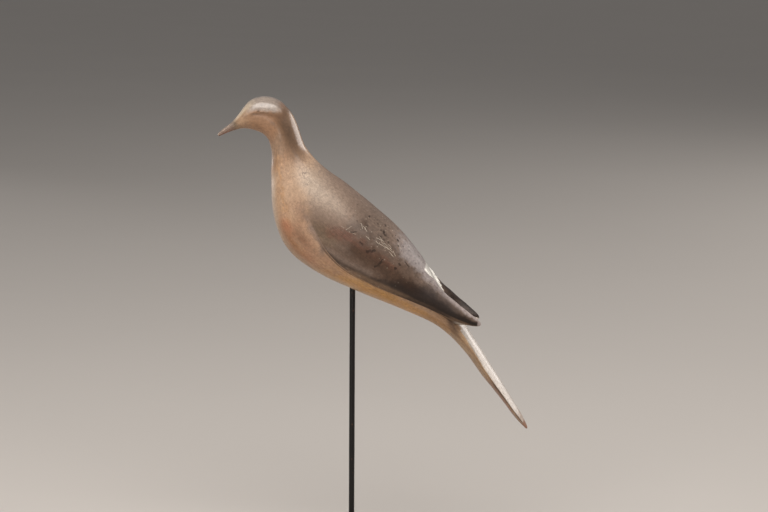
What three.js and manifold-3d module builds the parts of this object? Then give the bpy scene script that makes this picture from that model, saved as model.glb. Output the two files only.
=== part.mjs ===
/*
 * A carved wooden pigeon decoy on its display stand.
 *
 * The bird is one block of wood: head, body, folded wings and tail are carved in a piece, and the
 * wings stand proud of the flanks along their lower edge and come free at the tips. A slim steel rod
 * enters the belly where the bird balances, and stands in a round steel foot.
 *
 * Millimetres, +Z up. The bird faces -X and is the same on both sides of the plane y = 0. The
 * origin is the middle of the foot's underside, on the rod's axis.
 */
import * as THREE from "three";
import Module from "manifold-3d";
import { mergeVertices } from "three/addons/utils/BufferGeometryUtils.js";

// The bird's driving sizes.
const birdLength = 375; // straight from bill tip to tail tip
const wingProud = 2.4; // how far the wing's lower edge stands out from the flank
const wingUndercut = 1.4; // width of the step below that edge
const bellySocketDepth = 30; // hole in the belly for the rod

// The stand's driving sizes.
const rodDiameter = 5;
const rodShowing = 235; // from the foot's top to the belly
const footDiameter = 120;
const footThickness = 12;
const footChamfer = 1.5;
const footFloor = 4; // steel left under the rod's socket
const socketClearance = 0.3; // around the rod and at its ends, in both sockets

// How finely the forms are cut: rings down the bird, and faces across each band of a ring's side.
const trunkRings = 64; // from the bill to where the wing tips come free
const tailRings = 20;
const wingTipRings = 10;
const rumpFaces = 4; // from the middle of the back to the foot of the wing's ridge
const innerFaces = 2; // up the inner side of the ridge
const wingFaces = 9; // from the ridge over the wing to its lower edge
const underFaces = 2; // from the foot of the step under that edge to the flank row
const bellyFaces = 6; // from the flank row to the middle of the belly
const rodSides = 24;
const footSides = 64;

/*
 * Stations down the bird, from bill tip to tail tip. Each is a slice through it: where the slice
 * meets the line of the back and the line of the belly in the side view, as [x, z] from the point
 * where the rod enters, its half width, and how high its widest level lies, from -1 at the belly
 * to 1 at the back. upper and lower say how square the slice is above and below that level: 2 is
 * round, more is squarer, and less has sharp sides. Lengths are thousandths of the bird's length.
 */
const stations = [
  { back: [-311, 360.5], belly: [-308.3, 354.8], half: 2.6, widest: 0, upper: 2, lower: 2 }, // bill tip
  { back: [-296.6, 373], belly: [-287, 364.2], half: 5.2, widest: 0, upper: 2, lower: 2 },
  { back: [-279.3, 386.4], belly: [-270, 370], half: 8.8, widest: 0, upper: 2, lower: 2 }, // bill root
  { back: [-265.5, 401.5], belly: [-255.5, 373.7], half: 15.5, widest: 0.1, upper: 2, lower: 2 },
  { back: [-232, 440.6], belly: [-222, 369.3], half: 29, widest: 0.1, upper: 2.1, lower: 2.2 }, // brow
  { back: [-201.4, 448.2], belly: [-205.1, 361.6], half: 33, widest: 0.1, upper: 2.1, lower: 2.2 },
  { back: [-171, 440.6], belly: [-194.4, 349.3], half: 33.8, widest: 0, upper: 2.1, lower: 2.1 },
  { back: [-148, 419.5], belly: [-189.2, 333.5], half: 32.6, widest: 0, upper: 2, lower: 2 }, // nape
  { back: [-106.2, 327.8], belly: [-187.5, 269.2], half: 42.5, widest: 0, upper: 2, lower: 2 },
  { back: [-57, 278.6], belly: [-185.2, 197.3], half: 64, widest: 0, upper: 2, lower: 2.1 }, // mantle
  { back: [-22.6, 254.2], belly: [-177.4, 155.4], half: 77, widest: 0, upper: 2.1, lower: 2.1 },
  { back: [55.8, 191.2], belly: [-138, 83.1], half: 91, widest: 0, upper: 2.1, lower: 2.1 }, // breast
  { back: [93, 158.6], belly: [-100.2, 54.2], half: 91, widest: 0, upper: 2.3, lower: 2.1 },
  { back: [158, 82], belly: [3.5, 2.2], half: 80, widest: 0, upper: 3, lower: 2.1 }, // over the rod
  { back: [198, 17], belly: [115.3, -43.6], half: 57, widest: 0, upper: 3, lower: 2 }, // rump
  { back: [237, -48.5], belly: [196, -82.3], half: 41, widest: 0.15, upper: 2.2, lower: 1.8 },
  { back: [259.2, -75.3], belly: [222, -102.6], half: 37, widest: 0.2, upper: 1.8, lower: 1.6 }, // tail root
  { back: [285.6, -115], belly: [260, -141.4], half: 36, widest: 0.15, upper: 1.7, lower: 1.45 },
  { back: [321.6, -171.3], belly: [300.6, -197.2], half: 34, widest: 0, upper: 1.6, lower: 1.4 },
  { back: [357.6, -228.3], belly: [341.6, -247.8], half: 30, widest: -0.15, upper: 1.55, lower: 1.4 },
  { back: [402.6, -302.8], belly: [394.6, -315.6], half: 18, widest: -0.2, upper: 1.6, lower: 1.5 },
  { back: [413.8, -325.6], belly: [410.4, -330.6], half: 7, widest: 0, upper: 1.8, lower: 1.8 }, // tail tip
];

/*
 * Lines carved along each side. along is the share of the way from bill tip to tail tip. ridge is
 * the turn from the back, in degrees, at which the rump meets the foot of the wing's ridge. under
 * is how far down the slice's depth the wing's lower edge overhangs the flank, and stand the share
 * of wingProud by which it stands out. flank is the turn of the row below, which is the sharp side
 * of the tail. Ahead of the wing and behind it the lines only guide the faces.
 */
const lines = [
  { along: 0, ridge: 30, under: 0.5, stand: 0, flank: 122 },
  { along: 0.3, ridge: 28, under: 0.56, stand: 0, flank: 125 },
  { along: 0.387, ridge: 26, under: 0.635, stand: 0.1, flank: 128 },
  { along: 0.435, ridge: 24, under: 0.695, stand: 0.55, flank: 132 },
  { along: 0.493, ridge: 21, under: 0.73, stand: 0.85, flank: 135 },
  { along: 0.549, ridge: 18, under: 0.71, stand: 1, flank: 133 },
  { along: 0.598, ridge: 26, under: 0.658, stand: 1, flank: 127 },
  { along: 0.645, ridge: 37, under: 0.56, stand: 1, flank: 118 },
  { along: 0.675, ridge: 43, under: 0.47, stand: 1, flank: 108 },
  { along: 0.7, ridge: 48, under: 0.39, stand: 1, flank: 99 },
  { along: 0.715, ridge: 51, under: 0.35, stand: 1, flank: 95 },
  { along: 0.74, ridge: 50, under: 0.34, stand: 0, flank: 90 },
  { along: 0.84, ridge: 42, under: 0.34, stand: 0, flank: 90 },
  { along: 1, ridge: 40, under: 0.38, stand: 0, flank: 90 },
];

/*
 * The rear of the wing at +Y, from where its ridge begins on the rump to its point: the ridge and
 * the lower edge as [x, y, z] from the rod's entry, and how far it swells beyond the line between
 * them, outward and inward, in thousandths of the bird's length. along goes on past tipsFree, where
 * the wing tip leaves the tail.
 */
const wingRear = [
  { along: 0.53, ridge: [147, 41, 91], edge: [33.5, 82, 33], out: 24, in: 0 },
  { along: 0.56, ridge: [163, 41.5, 68], edge: [68, 78, 16.5], out: 20.5, in: 0 },
  { along: 0.58, ridge: [175, 43.5, 53], edge: [91, 74, 5.5], out: 17, in: 0 },
  { along: 0.6, ridge: [187, 46.5, 38.5], edge: [114.5, 69.5, -4.5], out: 14.5, in: 0 },
  { along: 0.6225, ridge: [200, 50, 20], edge: [141, 65, -16], out: 12.5, in: 1.5 },
  { along: 0.645, ridge: [214, 52, 4.5], edge: [168, 61, -27.5], out: 11, in: 3 },
  { along: 0.675, ridge: [233, 52, -11.5], edge: [203, 55, -45], out: 10, in: 4 },
  { along: 0.7, ridge: [251, 50, -27], edge: [226, 49.5, -56.5], out: 9, in: 5 },
  { along: 0.715, ridge: [260.5, 48.5, -34.5], edge: [238, 46.5, -61.5], out: 8.5, in: 5 },
  { along: 0.74, ridge: [275.5, 45, -47.5], edge: [256.5, 43, -68.5], out: 7, in: 4.5 },
  { along: 0.765, ridge: [291.5, 40.5, -61.5], edge: [281, 39.5, -76], out: 4.5, in: 3.5 },
  { along: 0.775, ridge: [299, 38.5, -69.3], edge: [295, 37.5, -77.5], out: 2.2, in: 2 },
];
const wingSquareness = 1.65;
const wingRearBegins = 0.535;
const wingRearWhole = 0.615;
const tipsFree = 0.715;
const tipsEnd = 0.775;

const share = birdLength / 1000;
const entryHeight = footThickness + rodShowing;
const { smoothstep, lerp, clamp, degToRad } = THREE.MathUtils;

/** A smooth curve through the knots: the value at t, by a cubic between each pair of knots. */
function through(knots, values, t) {
  const last = knots.length - 1;
  const slope = (i) => (values[i + 1] - values[i]) / (knots[i + 1] - knots[i]);
  const tangent = (i) => {
    if (i === 0) return slope(0);
    if (i === last) return slope(last - 1);
    const before = knots[i] - knots[i - 1];
    const after = knots[i + 1] - knots[i];
    return (slope(i - 1) * after + slope(i) * before) / (before + after);
  };
  let i = 0;
  while (i < last - 1 && t > knots[i + 1]) i += 1;
  const span = knots[i + 1] - knots[i];
  const u = clamp((t - knots[i]) / span, 0, 1);
  const rise = values[i + 1] - values[i];
  const start = tangent(i) * span;
  const end = tangent(i + 1) * span;
  return values[i] + u * (start + u * (3 * rise - 2 * start - end + u * (start + end - 2 * rise)));
}

/** A table with one smooth curve for each number in its rows, read at any place along it. */
function smoothTable(knots, rows) {
  const columns = rows[0].map((_, c) => rows.map((row) => row[c]));
  return (t) => columns.map((column) => through(knots, column, t));
}

/** |x| to a power, with the sign of x. */
function signedPower(x, power) {
  return Math.sign(x) * Math.abs(x) ** power;
}

/** The shares of the way across a band of so many faces, without the first. */
function sharesAcross(faces) {
  return Array.from({ length: faces }, (_, i) => (i + 1) / faces);
}

/** How far down the bird each station's middle lies, from 0 at the bill tip to 1 at the tail tip. */
function stationShares() {
  const middles = stations.map(({ back, belly }) => [back[0] + belly[0], back[1] + belly[1]]);
  const steps = middles.map(([x, z], i) => {
    const [px, pz] = middles[Math.max(i - 1, 0)];
    return Math.hypot(x - px, z - pz);
  });
  const total = steps.reduce((sum, step) => sum + step, 0);
  let walked = 0;
  return steps.map((step) => (walked += step) / total);
}

const stationAt = smoothTable(
  stationShares(),
  stations.map((s) => [...s.back, ...s.belly, s.half, s.widest, s.upper, s.lower]),
);
const linesAt = smoothTable(
  lines.map(({ along }) => along),
  lines.map(({ ridge, under, stand, flank }) => [ridge, under, stand, flank]),
);
const wingRearAt = smoothTable(
  wingRear.map(({ along }) => along),
  wingRear.map(({ ridge, edge, out, in: inward }) => [...ridge, ...edge, out, inward]),
);

/** One slice through the bird, read a share of the way from bill tip to tail tip. */
class Slice {
  constructor(along) {
    const [backX, backZ, bellyX, bellyZ, half, widest, upper, lower] = stationAt(along);
    this.middle = new THREE.Vector3(backX + bellyX, 0, backZ + bellyZ).multiplyScalar(share / 2);
    this.rise = new THREE.Vector3(backX - bellyX, 0, backZ - bellyZ).multiplyScalar(share / 2);
    this.half = half * share;
    this.widest = widest;
    this.upper = upper;
    this.lower = lower;
  }

  /** The point on the slice at a turn, from 0 at the back to pi at the belly, on the +Y side. */
  point(turn) {
    const power = 2 / (turn < Math.PI / 2 ? this.upper : this.lower);
    const lift = signedPower(Math.cos(turn), power);
    const level = this.widest + (lift > 0 ? 1 - this.widest : 1 + this.widest) * lift;
    const y = this.half * Math.sin(turn) ** power;
    return this.middle.clone().addScaledVector(this.rise, level).setY(y);
  }

  /** The way out of the wood at a turn. */
  outward(turn) {
    const up = this.rise.clone().normalize().multiplyScalar(Math.cos(turn) * this.half);
    return up.setY(Math.sin(turn) * this.rise.length()).normalize();
  }

  /** The turn at which the slice reaches a share of its depth below the back. */
  turnDown(down) {
    const above = 1 - 2 * down - this.widest;
    const reach = above > 0 ? 1 - this.widest : 1 + this.widest;
    const power = (above > 0 ? this.upper : this.lower) / 2;
    return Math.acos(clamp(signedPower(above / reach, power), -1, 1));
  }
}

/** The rear of the wing in a slanting section from its ridge to its lower edge, on the +Y side. */
class WingSection {
  constructor(along) {
    const [rx, ry, rz, ex, ey, ez, out, inward] = wingRearAt(along).map((v) => v * share);
    this.ridge = new THREE.Vector3(rx, ry, rz);
    this.edge = new THREE.Vector3(ex, ey, ez);
    this.out = out;
    this.inward = inward;
  }

  /** The point a share of the way from ridge to edge, over the wing or down its inner side. */
  point(part, inside = false) {
    const turn = Math.PI * part;
    const power = 2 / wingSquareness;
    const lean = this.ridge.clone().sub(this.edge).normalize();
    const away = new THREE.Vector3(0, 1, 0).addScaledVector(lean, -lean.y).normalize();
    const swell = inside ? -this.inward : this.out;
    return this.ridge
      .clone()
      .lerp(this.edge, (1 - signedPower(Math.cos(turn), power)) / 2)
      .addScaledVector(away, swell * Math.sin(turn) ** power);
  }

  /** The free wing tip's points, from the foot of the ridge over the wing to the foot of the step. */
  side() {
    const innerSide = [0.55, ...sharesAcross(innerFaces).map((part) => 0.55 * (1 - part))];
    const over = sharesAcross(wingFaces).map((part) => this.point(part));
    return [...innerSide.map((part) => this.point(part, true)), ...over, this.point(0.8, true)];
  }
}

/** The turns of the guiding lines on a slice: the ridge's foot, the step's foot and the flank. */
function guides(slice, along) {
  const [ridge, under, stand, flank] = linesAt(along);
  return {
    ridgeFoot: degToRad(ridge),
    stepFoot: slice.turnDown(under),
    stand: wingProud * clamp(stand, 0, 1),
    flank: Math.max(degToRad(flank), slice.turnDown(under) + degToRad(8)),
  };
}

/** Points over the wing while it is still part of the flank, from ridge to lower edge. */
function flankWing(slice, { ridgeFoot, stepFoot, stand }) {
  const girth = (slice.rise.length() + slice.half) / 2;
  const from = ridgeFoot + (0.15 * (stepFoot - ridgeFoot) * innerFaces) / wingFaces;
  const to = stepFoot - Math.min(wingUndercut / girth, (stepFoot - from) / (wingFaces + 1));
  return [0, ...sharesAcross(wingFaces)].map((part) => {
    const turn = lerp(from, to, part);
    return slice.point(turn).addScaledVector(slice.outward(turn), stand * smoothstep(part, 0.25, 1));
  });
}

/** The side of a ring at +Y where head, body, wings and tail are one, from the back to the belly. */
function trunkSide(along) {
  const slice = new Slice(along);
  const guide = guides(slice, along);
  const rear = smoothstep(along, wingRearBegins, wingRearWhole);
  const section = new WingSection(Math.max(along, wingRear[0].along));
  const over = flankWing(slice, guide).map((point, i) => point.lerp(section.point(i / wingFaces), rear));
  const foot = slice.point(guide.ridgeFoot);
  const inner = sharesAcross(innerFaces).map((part) => foot.clone().lerp(over[0], part));
  const rump = sharesAcross(rumpFaces).map((part) => slice.point(guide.ridgeFoot * part));
  return [slice.point(0), ...rump, ...inner, ...over.slice(1), ...belowStep(slice, guide)];
}

/** Points from the foot of the step under the wing to the middle of the belly. */
function belowStep(slice, { stepFoot, flank }) {
  const under = sharesAcross(underFaces).map((part) => lerp(stepFoot, flank, part));
  const belly = sharesAcross(bellyFaces).map((part) => lerp(flank, Math.PI, part));
  return [stepFoot, ...under, ...belly].map((turn) => slice.point(turn));
}

/** The side of a ring of the tail at +Y. */
function tailSide(along) {
  const slice = new Slice(along);
  const guide = guides(slice, along);
  const top = [0, ...sharesAcross(rumpFaces)].map((part) => slice.point(guide.ridgeFoot * part));
  return [...top, ...belowStep(slice, guide)];
}

/** The ring whose +Y side is given, from the back down that side and up the other. */
function mirroredRing(side) {
  const other = side.slice(1, -1).reverse();
  return [...side, ...other.map((p) => new THREE.Vector3(p.x, -p.y, p.z))];
}

/** The triangles of a skin drawn over rings of points, with its ends closed where asked. */
function skin(rings, { closeStart = false, closeEnd = false }) {
  const around = rings[0].length;
  const triangles = [];
  for (let r = 0; r + 1 < rings.length; r += 1) {
    for (let j = 0; j < around; j += 1) {
      const k = (j + 1) % around;
      triangles.push([rings[r][j], rings[r + 1][k], rings[r][k]]);
      triangles.push([rings[r][j], rings[r + 1][j], rings[r + 1][k]]);
    }
  }
  const close = (ring) => {
    const middle = ring.reduce((sum, p) => sum.addScaledVector(p, 1 / around), new THREE.Vector3());
    ring.forEach((p, j) => triangles.push([middle, p, ring[(j + 1) % around]]));
  };
  if (closeStart) close(rings[0]);
  if (closeEnd) close([...rings[rings.length - 1]].reverse());
  return triangles;
}

/** Rings read at even shares from one place along the bird to another. */
function ringsBetween(from, to, count, ringAt) {
  return [0, ...sharesAcross(count)].map((part) => ringAt(lerp(from, to, part)));
}

/** The whole bird's surface: the trunk, and from where the tips come free the tail and two tips. */
function carveBird() {
  const trunk = ringsBetween(0, tipsFree, trunkRings, (along) => mirroredRing(trunkSide(along)));
  const last = trunkSide(tipsFree);
  const ridgeFoot = rumpFaces;
  const stepFoot = ridgeFoot + innerFaces + wingFaces + 1;

  const tail = ringsBetween(tipsFree, 1, tailRings, (along) => mirroredRing(tailSide(along)));
  const sideOfSplit = [...last.slice(0, ridgeFoot + 1), ...last.slice(stepFoot)];
  tail[0] = mirroredRing(sideOfSplit);

  const joined = last.slice(ridgeFoot, stepFoot + 1);
  const freeAtSplit = new WingSection(tipsFree).side();
  const tip = ringsBetween(tipsFree, tipsEnd, wingTipRings, (along) => {
    const hold = 1 - smoothstep(along, tipsFree, tipsEnd);
    return new WingSection(along).side().map((point, i) => {
      const offset = joined[i].clone().sub(freeAtSplit[i]);
      return point.addScaledVector(offset, hold);
    });
  });
  tip[0] = joined;
  const mirroredTip = tip.map((ring) => ring.map((p) => new THREE.Vector3(p.x, -p.y, p.z)).reverse());
  return [
    ...skin(trunk, { closeStart: true }),
    ...skin(tail, { closeEnd: true }),
    ...skin(tip, { closeEnd: true }),
    ...skin(mirroredTip, { closeEnd: true }),
  ];
}

const wasm = await Module();
wasm.setup();

/** A closed geometry as a solid that can be joined and cut. */
function solidOf(geometry) {
  const bare = new THREE.BufferGeometry();
  bare.setAttribute("position", geometry.getAttribute("position"));
  bare.setIndex(geometry.getIndex());
  const merged = mergeVertices(bare, 1e-4);
  const triVerts = new Uint32Array(merged.getIndex().array);
  const vertProperties = new Float32Array(merged.getAttribute("position").array);
  return new wasm.Manifold(new wasm.Mesh({ numProp: 3, vertProperties, triVerts }));
}

/** The solid's surface as a geometry. */
function geometryOf(solid) {
  const { vertProperties, triVerts } = solid.getMesh();
  const geometry = new THREE.BufferGeometry();
  geometry.setAttribute("position", new THREE.BufferAttribute(vertProperties, 3));
  geometry.setIndex(new THREE.BufferAttribute(triVerts, 1));
  geometry.computeVertexNormals();
  return geometry;
}

/** An upright round bar between two heights. */
function uprightBar(radius, low, high) {
  const bar = new THREE.CylinderGeometry(radius, radius, high - low, rodSides);
  bar.rotateX(Math.PI / 2);
  bar.translate(0, 0, (low + high) / 2);
  return bar;
}

/** The bird, with its belly drilled for the rod. */
function makeBird() {
  const socketRadius = rodDiameter / 2 + socketClearance;
  const drill = solidOf(uprightBar(socketRadius, -bellySocketDepth, bellySocketDepth));
  const surface = new THREE.BufferGeometry().setFromPoints(carveBird().flat());
  const carved = solidOf(surface).subtract(drill);
  const wood = new THREE.MeshStandardMaterial({ color: 0xa98f74, roughness: 0.6, metalness: 0 });
  const bird = new THREE.Mesh(geometryOf(carved), wood);
  bird.name = "carved_bird";
  bird.position.z = entryHeight;
  return bird;
}

/** The rod, from near the bottom of the foot's socket to near the end of the bird's. */
function makeRod() {
  const low = footFloor + socketClearance;
  const high = entryHeight + bellySocketDepth - socketClearance;
  const steel = new THREE.MeshStandardMaterial({ color: 0x2b2927, roughness: 0.45, metalness: 0.8 });
  const rod = new THREE.Mesh(uprightBar(rodDiameter / 2, low, high), steel);
  rod.name = "rod";
  return rod;
}

/** The round foot: a turned plate with a chamfered top edge and a blind socket for the rod. */
function makeFoot() {
  const radius = footDiameter / 2;
  const socketRadius = rodDiameter / 2 + socketClearance;
  const profile = [
    [0, 0],
    [radius, 0],
    [radius, footThickness - footChamfer],
    [radius - footChamfer, footThickness],
    [socketRadius, footThickness],
    [socketRadius, footFloor],
    [0, footFloor],
  ].map(([r, z]) => new THREE.Vector2(r, z));
  const turned = new THREE.LatheGeometry(profile, footSides);
  turned.rotateX(Math.PI / 2);
  const steel = new THREE.MeshStandardMaterial({ color: 0x242321, roughness: 0.55, metalness: 0.7 });
  const foot = new THREE.Mesh(turned, steel);
  foot.name = "foot";
  return foot;
}

const decoy = new THREE.Group();
decoy.add(makeBird(), makeRod(), makeFoot());

export default decoy;
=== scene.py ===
"""A carved wooden pigeon decoy on its rod stand, finished and lit as in its photograph.

Everything is in metres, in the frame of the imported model: +Z is up along the rod, the bird faces -X
and y = 0 is its mirror plane. The bird's skin is drawn finely from the same slices as its solid. Its
paint, wear and marks are laid out in the side view and along the bird's own directions.
"""
import logging
import math
from collections.abc import Sequence
from dataclasses import dataclass, field
from enum import Enum
from functools import cached_property

import bpy
import numpy as np
from mathutils import Matrix, Vector, kdtree, noise


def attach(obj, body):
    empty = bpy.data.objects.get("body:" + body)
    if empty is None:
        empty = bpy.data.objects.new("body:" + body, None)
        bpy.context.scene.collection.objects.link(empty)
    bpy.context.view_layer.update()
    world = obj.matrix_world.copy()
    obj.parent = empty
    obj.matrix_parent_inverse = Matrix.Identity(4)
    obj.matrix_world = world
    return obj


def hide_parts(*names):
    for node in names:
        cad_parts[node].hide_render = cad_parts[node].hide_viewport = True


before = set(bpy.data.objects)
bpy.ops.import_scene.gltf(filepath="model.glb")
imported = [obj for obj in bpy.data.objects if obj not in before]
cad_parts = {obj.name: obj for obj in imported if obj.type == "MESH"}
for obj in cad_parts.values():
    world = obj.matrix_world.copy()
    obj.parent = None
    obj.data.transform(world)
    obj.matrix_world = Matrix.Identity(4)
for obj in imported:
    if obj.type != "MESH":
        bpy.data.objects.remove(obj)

log = logging.getLogger("decoy")

MM = 0.001
Array = np.ndarray
Socket = bpy.types.NodeSocket
Entry = float | Sequence[float] | Socket
Table = tuple[tuple[float, ...], ...]
Rgb = tuple[int, int, int]


def ease(value: Array | float, low: Array | float, high: Array | float) -> Array:
    """A smooth rise from 0 to 1.

    Args:
        value: What is eased.
        low: Where the rise starts. It may lie above high, and the rise is then a fall.
        high: Where it is done.

    Returns:
        The eased share, from 0 to 1.
    """
    share = np.clip((value - low) / (high - low), 0.0, 1.0)
    return share * share * (3 - 2 * share)


def between(value: Array, start: float, full: float, held: float, end: float) -> Array:
    """A smooth rise from start to full, and a smooth fall from held to end."""
    return ease(value, start, full) * ease(value, end, held)


def bump(value: Array, middle: Array | float, reach: float) -> Array:
    """A soft bump, 1 at its middle and about a third of that a reach away."""
    return np.exp(-(((value - middle) / reach) ** 2))


def signed_power(value: Array, power: Array | float) -> Array:
    """The size of each value raised to a power, with the value's sign."""
    return np.sign(value) * np.abs(value) ** power


def shares(faces: int) -> Array:
    """The shares of the way across a band of so many faces, without the first."""
    return np.arange(1, faces + 1) / faces


def all_shares(faces: int) -> Array:
    """The shares of the way across a band of so many faces, with the first."""
    return np.concatenate([[0.0], shares(faces)])


def there_and_back(side: Array) -> Array:
    """The values down one side of a ring and back up the other."""
    return np.concatenate([side, side[-2:0:-1]])


def unit(vector: Array) -> Array:
    """The vectors, each made one long."""
    return vector / np.maximum(np.linalg.norm(vector, axis=-1, keepdims=True), 1e-12)


class SmoothTable:
    """A table with one smooth curve for each column, read at any place along it."""

    def __init__(self, rows: Table) -> None:
        """Prepares the curves.

        Args:
            rows: The knots. Each row is its place, then the columns' values there.
        """
        table = np.array(rows, float)
        self.knots, self.values = table[:, 0], table[:, 1:]
        spans = np.diff(self.knots)[:, None]
        slopes = np.diff(self.values, axis=0) / spans
        before, after = spans[:-1], spans[1:]
        inner = (slopes[:-1] * after + slopes[1:] * before) / (before + after)
        self.slopes = np.vstack([slopes[:1], inner, slopes[-1:]])

    def at(self, place: float) -> Array:
        """The columns' values at a place."""
        i = int(np.clip(np.searchsorted(self.knots, place) - 1, 0, len(self.knots) - 2))
        span = self.knots[i + 1] - self.knots[i]
        u = min(max((place - self.knots[i]) / span, 0.0), 1.0)
        rise = self.values[i + 1] - self.values[i]
        start, end = self.slopes[i] * span, self.slopes[i + 1] * span
        cubic = start + u * (3 * rise - 2 * start - end + u * (start + end - 2 * rise))
        return self.values[i] + u * cubic


@dataclass(frozen=True)
class BirdForm:
    """The carved form. Lengths in the tables are thousandths of the bird's length.

    stations: slices from bill tip to tail tip: back x and z, belly x and z, half width, the widest
        level, and how square the slice is above and below it.
    lines: place along, turn of the ridge's foot, depth of the wing's edge, its stand, the flank's turn.
    wing_rear: place along, the ridge's x y z, the lower edge's x y z, the swell outward and inward.
    """

    length: float = 0.375
    entry_height: float = 0.247
    wing_proud: float = 0.0024
    wing_undercut: float = 0.0014
    wing_squareness: float = 1.65
    ridge_share: float = 1 / 30
    rear_begins: float = 0.535
    rear_whole: float = 0.615
    tips_free: float = 0.715
    tips_end: float = 0.775
    stations: Table = (
        (-311, 360.5, -308.3, 354.8, 2.6, 0, 2, 2),
        (-296.6, 373, -287, 364.2, 5.2, 0, 2, 2),
        (-279.3, 386.4, -270, 370, 8.8, 0, 2, 2),
        (-265.5, 401.5, -255.5, 373.7, 15.5, 0.1, 2, 2),
        (-232, 440.6, -222, 369.3, 29, 0.1, 2.1, 2.2),
        (-201.4, 448.2, -205.1, 361.6, 33, 0.1, 2.1, 2.2),
        (-171, 440.6, -194.4, 349.3, 33.8, 0, 2.1, 2.1),
        (-148, 419.5, -189.2, 333.5, 32.6, 0, 2, 2),
        (-106.2, 327.8, -187.5, 269.2, 42.5, 0, 2, 2),
        (-57, 278.6, -185.2, 197.3, 64, 0, 2, 2.1),
        (-22.6, 254.2, -177.4, 155.4, 77, 0, 2.1, 2.1),
        (55.8, 191.2, -138, 83.1, 91, 0, 2.1, 2.1),
        (93, 158.6, -100.2, 54.2, 91, 0, 2.3, 2.1),
        (158, 82, 3.5, 2.2, 80, 0, 3, 2.1),
        (198, 17, 115.3, -43.6, 57, 0, 3, 2),
        (237, -48.5, 196, -82.3, 41, 0.15, 2.2, 1.8),
        (259.2, -75.3, 222, -102.6, 37, 0.2, 1.8, 1.6),
        (285.6, -115, 260, -141.4, 36, 0.15, 1.7, 1.45),
        (321.6, -171.3, 300.6, -197.2, 34, 0, 1.6, 1.4),
        (357.6, -228.3, 341.6, -247.8, 30, -0.15, 1.55, 1.4),
        (402.6, -302.8, 394.6, -315.6, 18, -0.2, 1.6, 1.5),
        (413.8, -325.6, 410.4, -330.6, 7, 0, 1.8, 1.8),
    )
    lines: Table = (
        (0, 30, 0.5, 0, 122),
        (0.3, 28, 0.56, 0, 125),
        (0.387, 26, 0.635, 0.1, 128),
        (0.435, 24, 0.695, 0.55, 132),
        (0.493, 21, 0.73, 0.85, 135),
        (0.549, 18, 0.71, 1, 133),
        (0.598, 26, 0.658, 1, 127),
        (0.645, 37, 0.56, 1, 118),
        (0.675, 43, 0.47, 1, 108),
        (0.7, 48, 0.39, 1, 99),
        (0.715, 51, 0.35, 1, 95),
        (0.74, 50, 0.34, 0, 90),
        (0.84, 42, 0.34, 0, 90),
        (1, 40, 0.38, 0, 90),
    )
    wing_rear: Table = (
        (0.53, 147, 41, 91, 33.5, 82, 33, 24, 0),
        (0.56, 163, 41.5, 68, 68, 78, 16.5, 20.5, 0),
        (0.58, 175, 43.5, 53, 91, 74, 5.5, 17, 0),
        (0.6, 187, 46.5, 38.5, 114.5, 69.5, -4.5, 14.5, 0),
        (0.6225, 200, 50, 20, 141, 65, -16, 12.5, 1.5),
        (0.645, 214, 52, 4.5, 168, 61, -27.5, 11, 3),
        (0.675, 233, 52, -11.5, 203, 55, -45, 10, 4),
        (0.7, 251, 50, -27, 226, 49.5, -56.5, 9, 5),
        (0.715, 260.5, 48.5, -34.5, 238, 46.5, -61.5, 8.5, 5),
        (0.74, 275.5, 45, -47.5, 256.5, 43, -68.5, 7, 4.5),
        (0.765, 291.5, 40.5, -61.5, 281, 39.5, -76, 4.5, 3.5),
        (0.775, 299, 38.5, -69.3, 295, 37.5, -77.5, 2.2, 2),
    )

    @cached_property
    def slice_table(self) -> SmoothTable:
        """The stations by their share of the way down the bird."""
        rows = np.array(self.stations)
        middles = (rows[:, 0:2] + rows[:, 2:4]) / 2
        steps = np.linalg.norm(np.diff(middles, axis=0), axis=1)
        places = np.concatenate([[0.0], np.cumsum(steps)]) / steps.sum()
        return SmoothTable(tuple((p, *row) for p, row in zip(places, self.stations)))

    @cached_property
    def line_table(self) -> SmoothTable:
        """The lines along each side."""
        return SmoothTable(self.lines)

    @cached_property
    def rear_table(self) -> SmoothTable:
        """The rear of the wing."""
        return SmoothTable(self.wing_rear)

    @property
    def share(self) -> float:
        """A thousandth of the bird's length."""
        return self.length / 1000

    @property
    def entry(self) -> Array:
        """The point where the rod enters the belly."""
        return np.array([0.0, 0.0, self.entry_height])


class Slice:
    """One slice through the bird, read a share of the way from bill tip to tail tip."""

    def __init__(self, form: BirdForm, along: float) -> None:
        """Reads the slice's sizes at a share of the way along."""
        back_x, back_z, belly_x, belly_z, half, *shape = form.slice_table.at(along)
        centre = np.array([back_x + belly_x, 0.0, back_z + belly_z])
        self.middle = form.entry + centre * form.share / 2
        self.rise = np.array([back_x - belly_x, 0.0, back_z - belly_z]) * form.share / 2
        self.half = half * form.share
        self.widest, self.upper, self.lower = shape

    def points(self, turns: Sequence[float] | Array) -> Array:
        """The points at turns from 0 at the back to pi at the belly, on the +Y side."""
        turns = np.asarray(turns, float)
        power = 2 / np.where(turns < math.pi / 2, self.upper, self.lower)
        lift = signed_power(np.cos(turns), power)
        level = self.widest + np.where(lift > 0, 1 - self.widest, 1 + self.widest) * lift
        points = self.middle + level[:, None] * self.rise
        points[:, 1] = self.half * np.clip(np.sin(turns), 0, 1) ** power
        return points

    def outward(self, turns: Array) -> Array:
        """The way out of the wood at each turn."""
        depth = float(np.linalg.norm(self.rise))
        ways = np.cos(turns)[:, None] * self.half * self.rise / depth
        ways[:, 1] = np.sin(turns) * depth
        return unit(ways)

    def turn_down(self, down: float) -> float:
        """The turn at which the slice reaches a share of its depth below the back."""
        above = 1 - 2 * down - self.widest
        reach = 1 - self.widest if above > 0 else 1 + self.widest
        power = (self.upper if above > 0 else self.lower) / 2
        return math.acos(min(max(float(signed_power(np.array(above / reach), power)), -1), 1))


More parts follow.
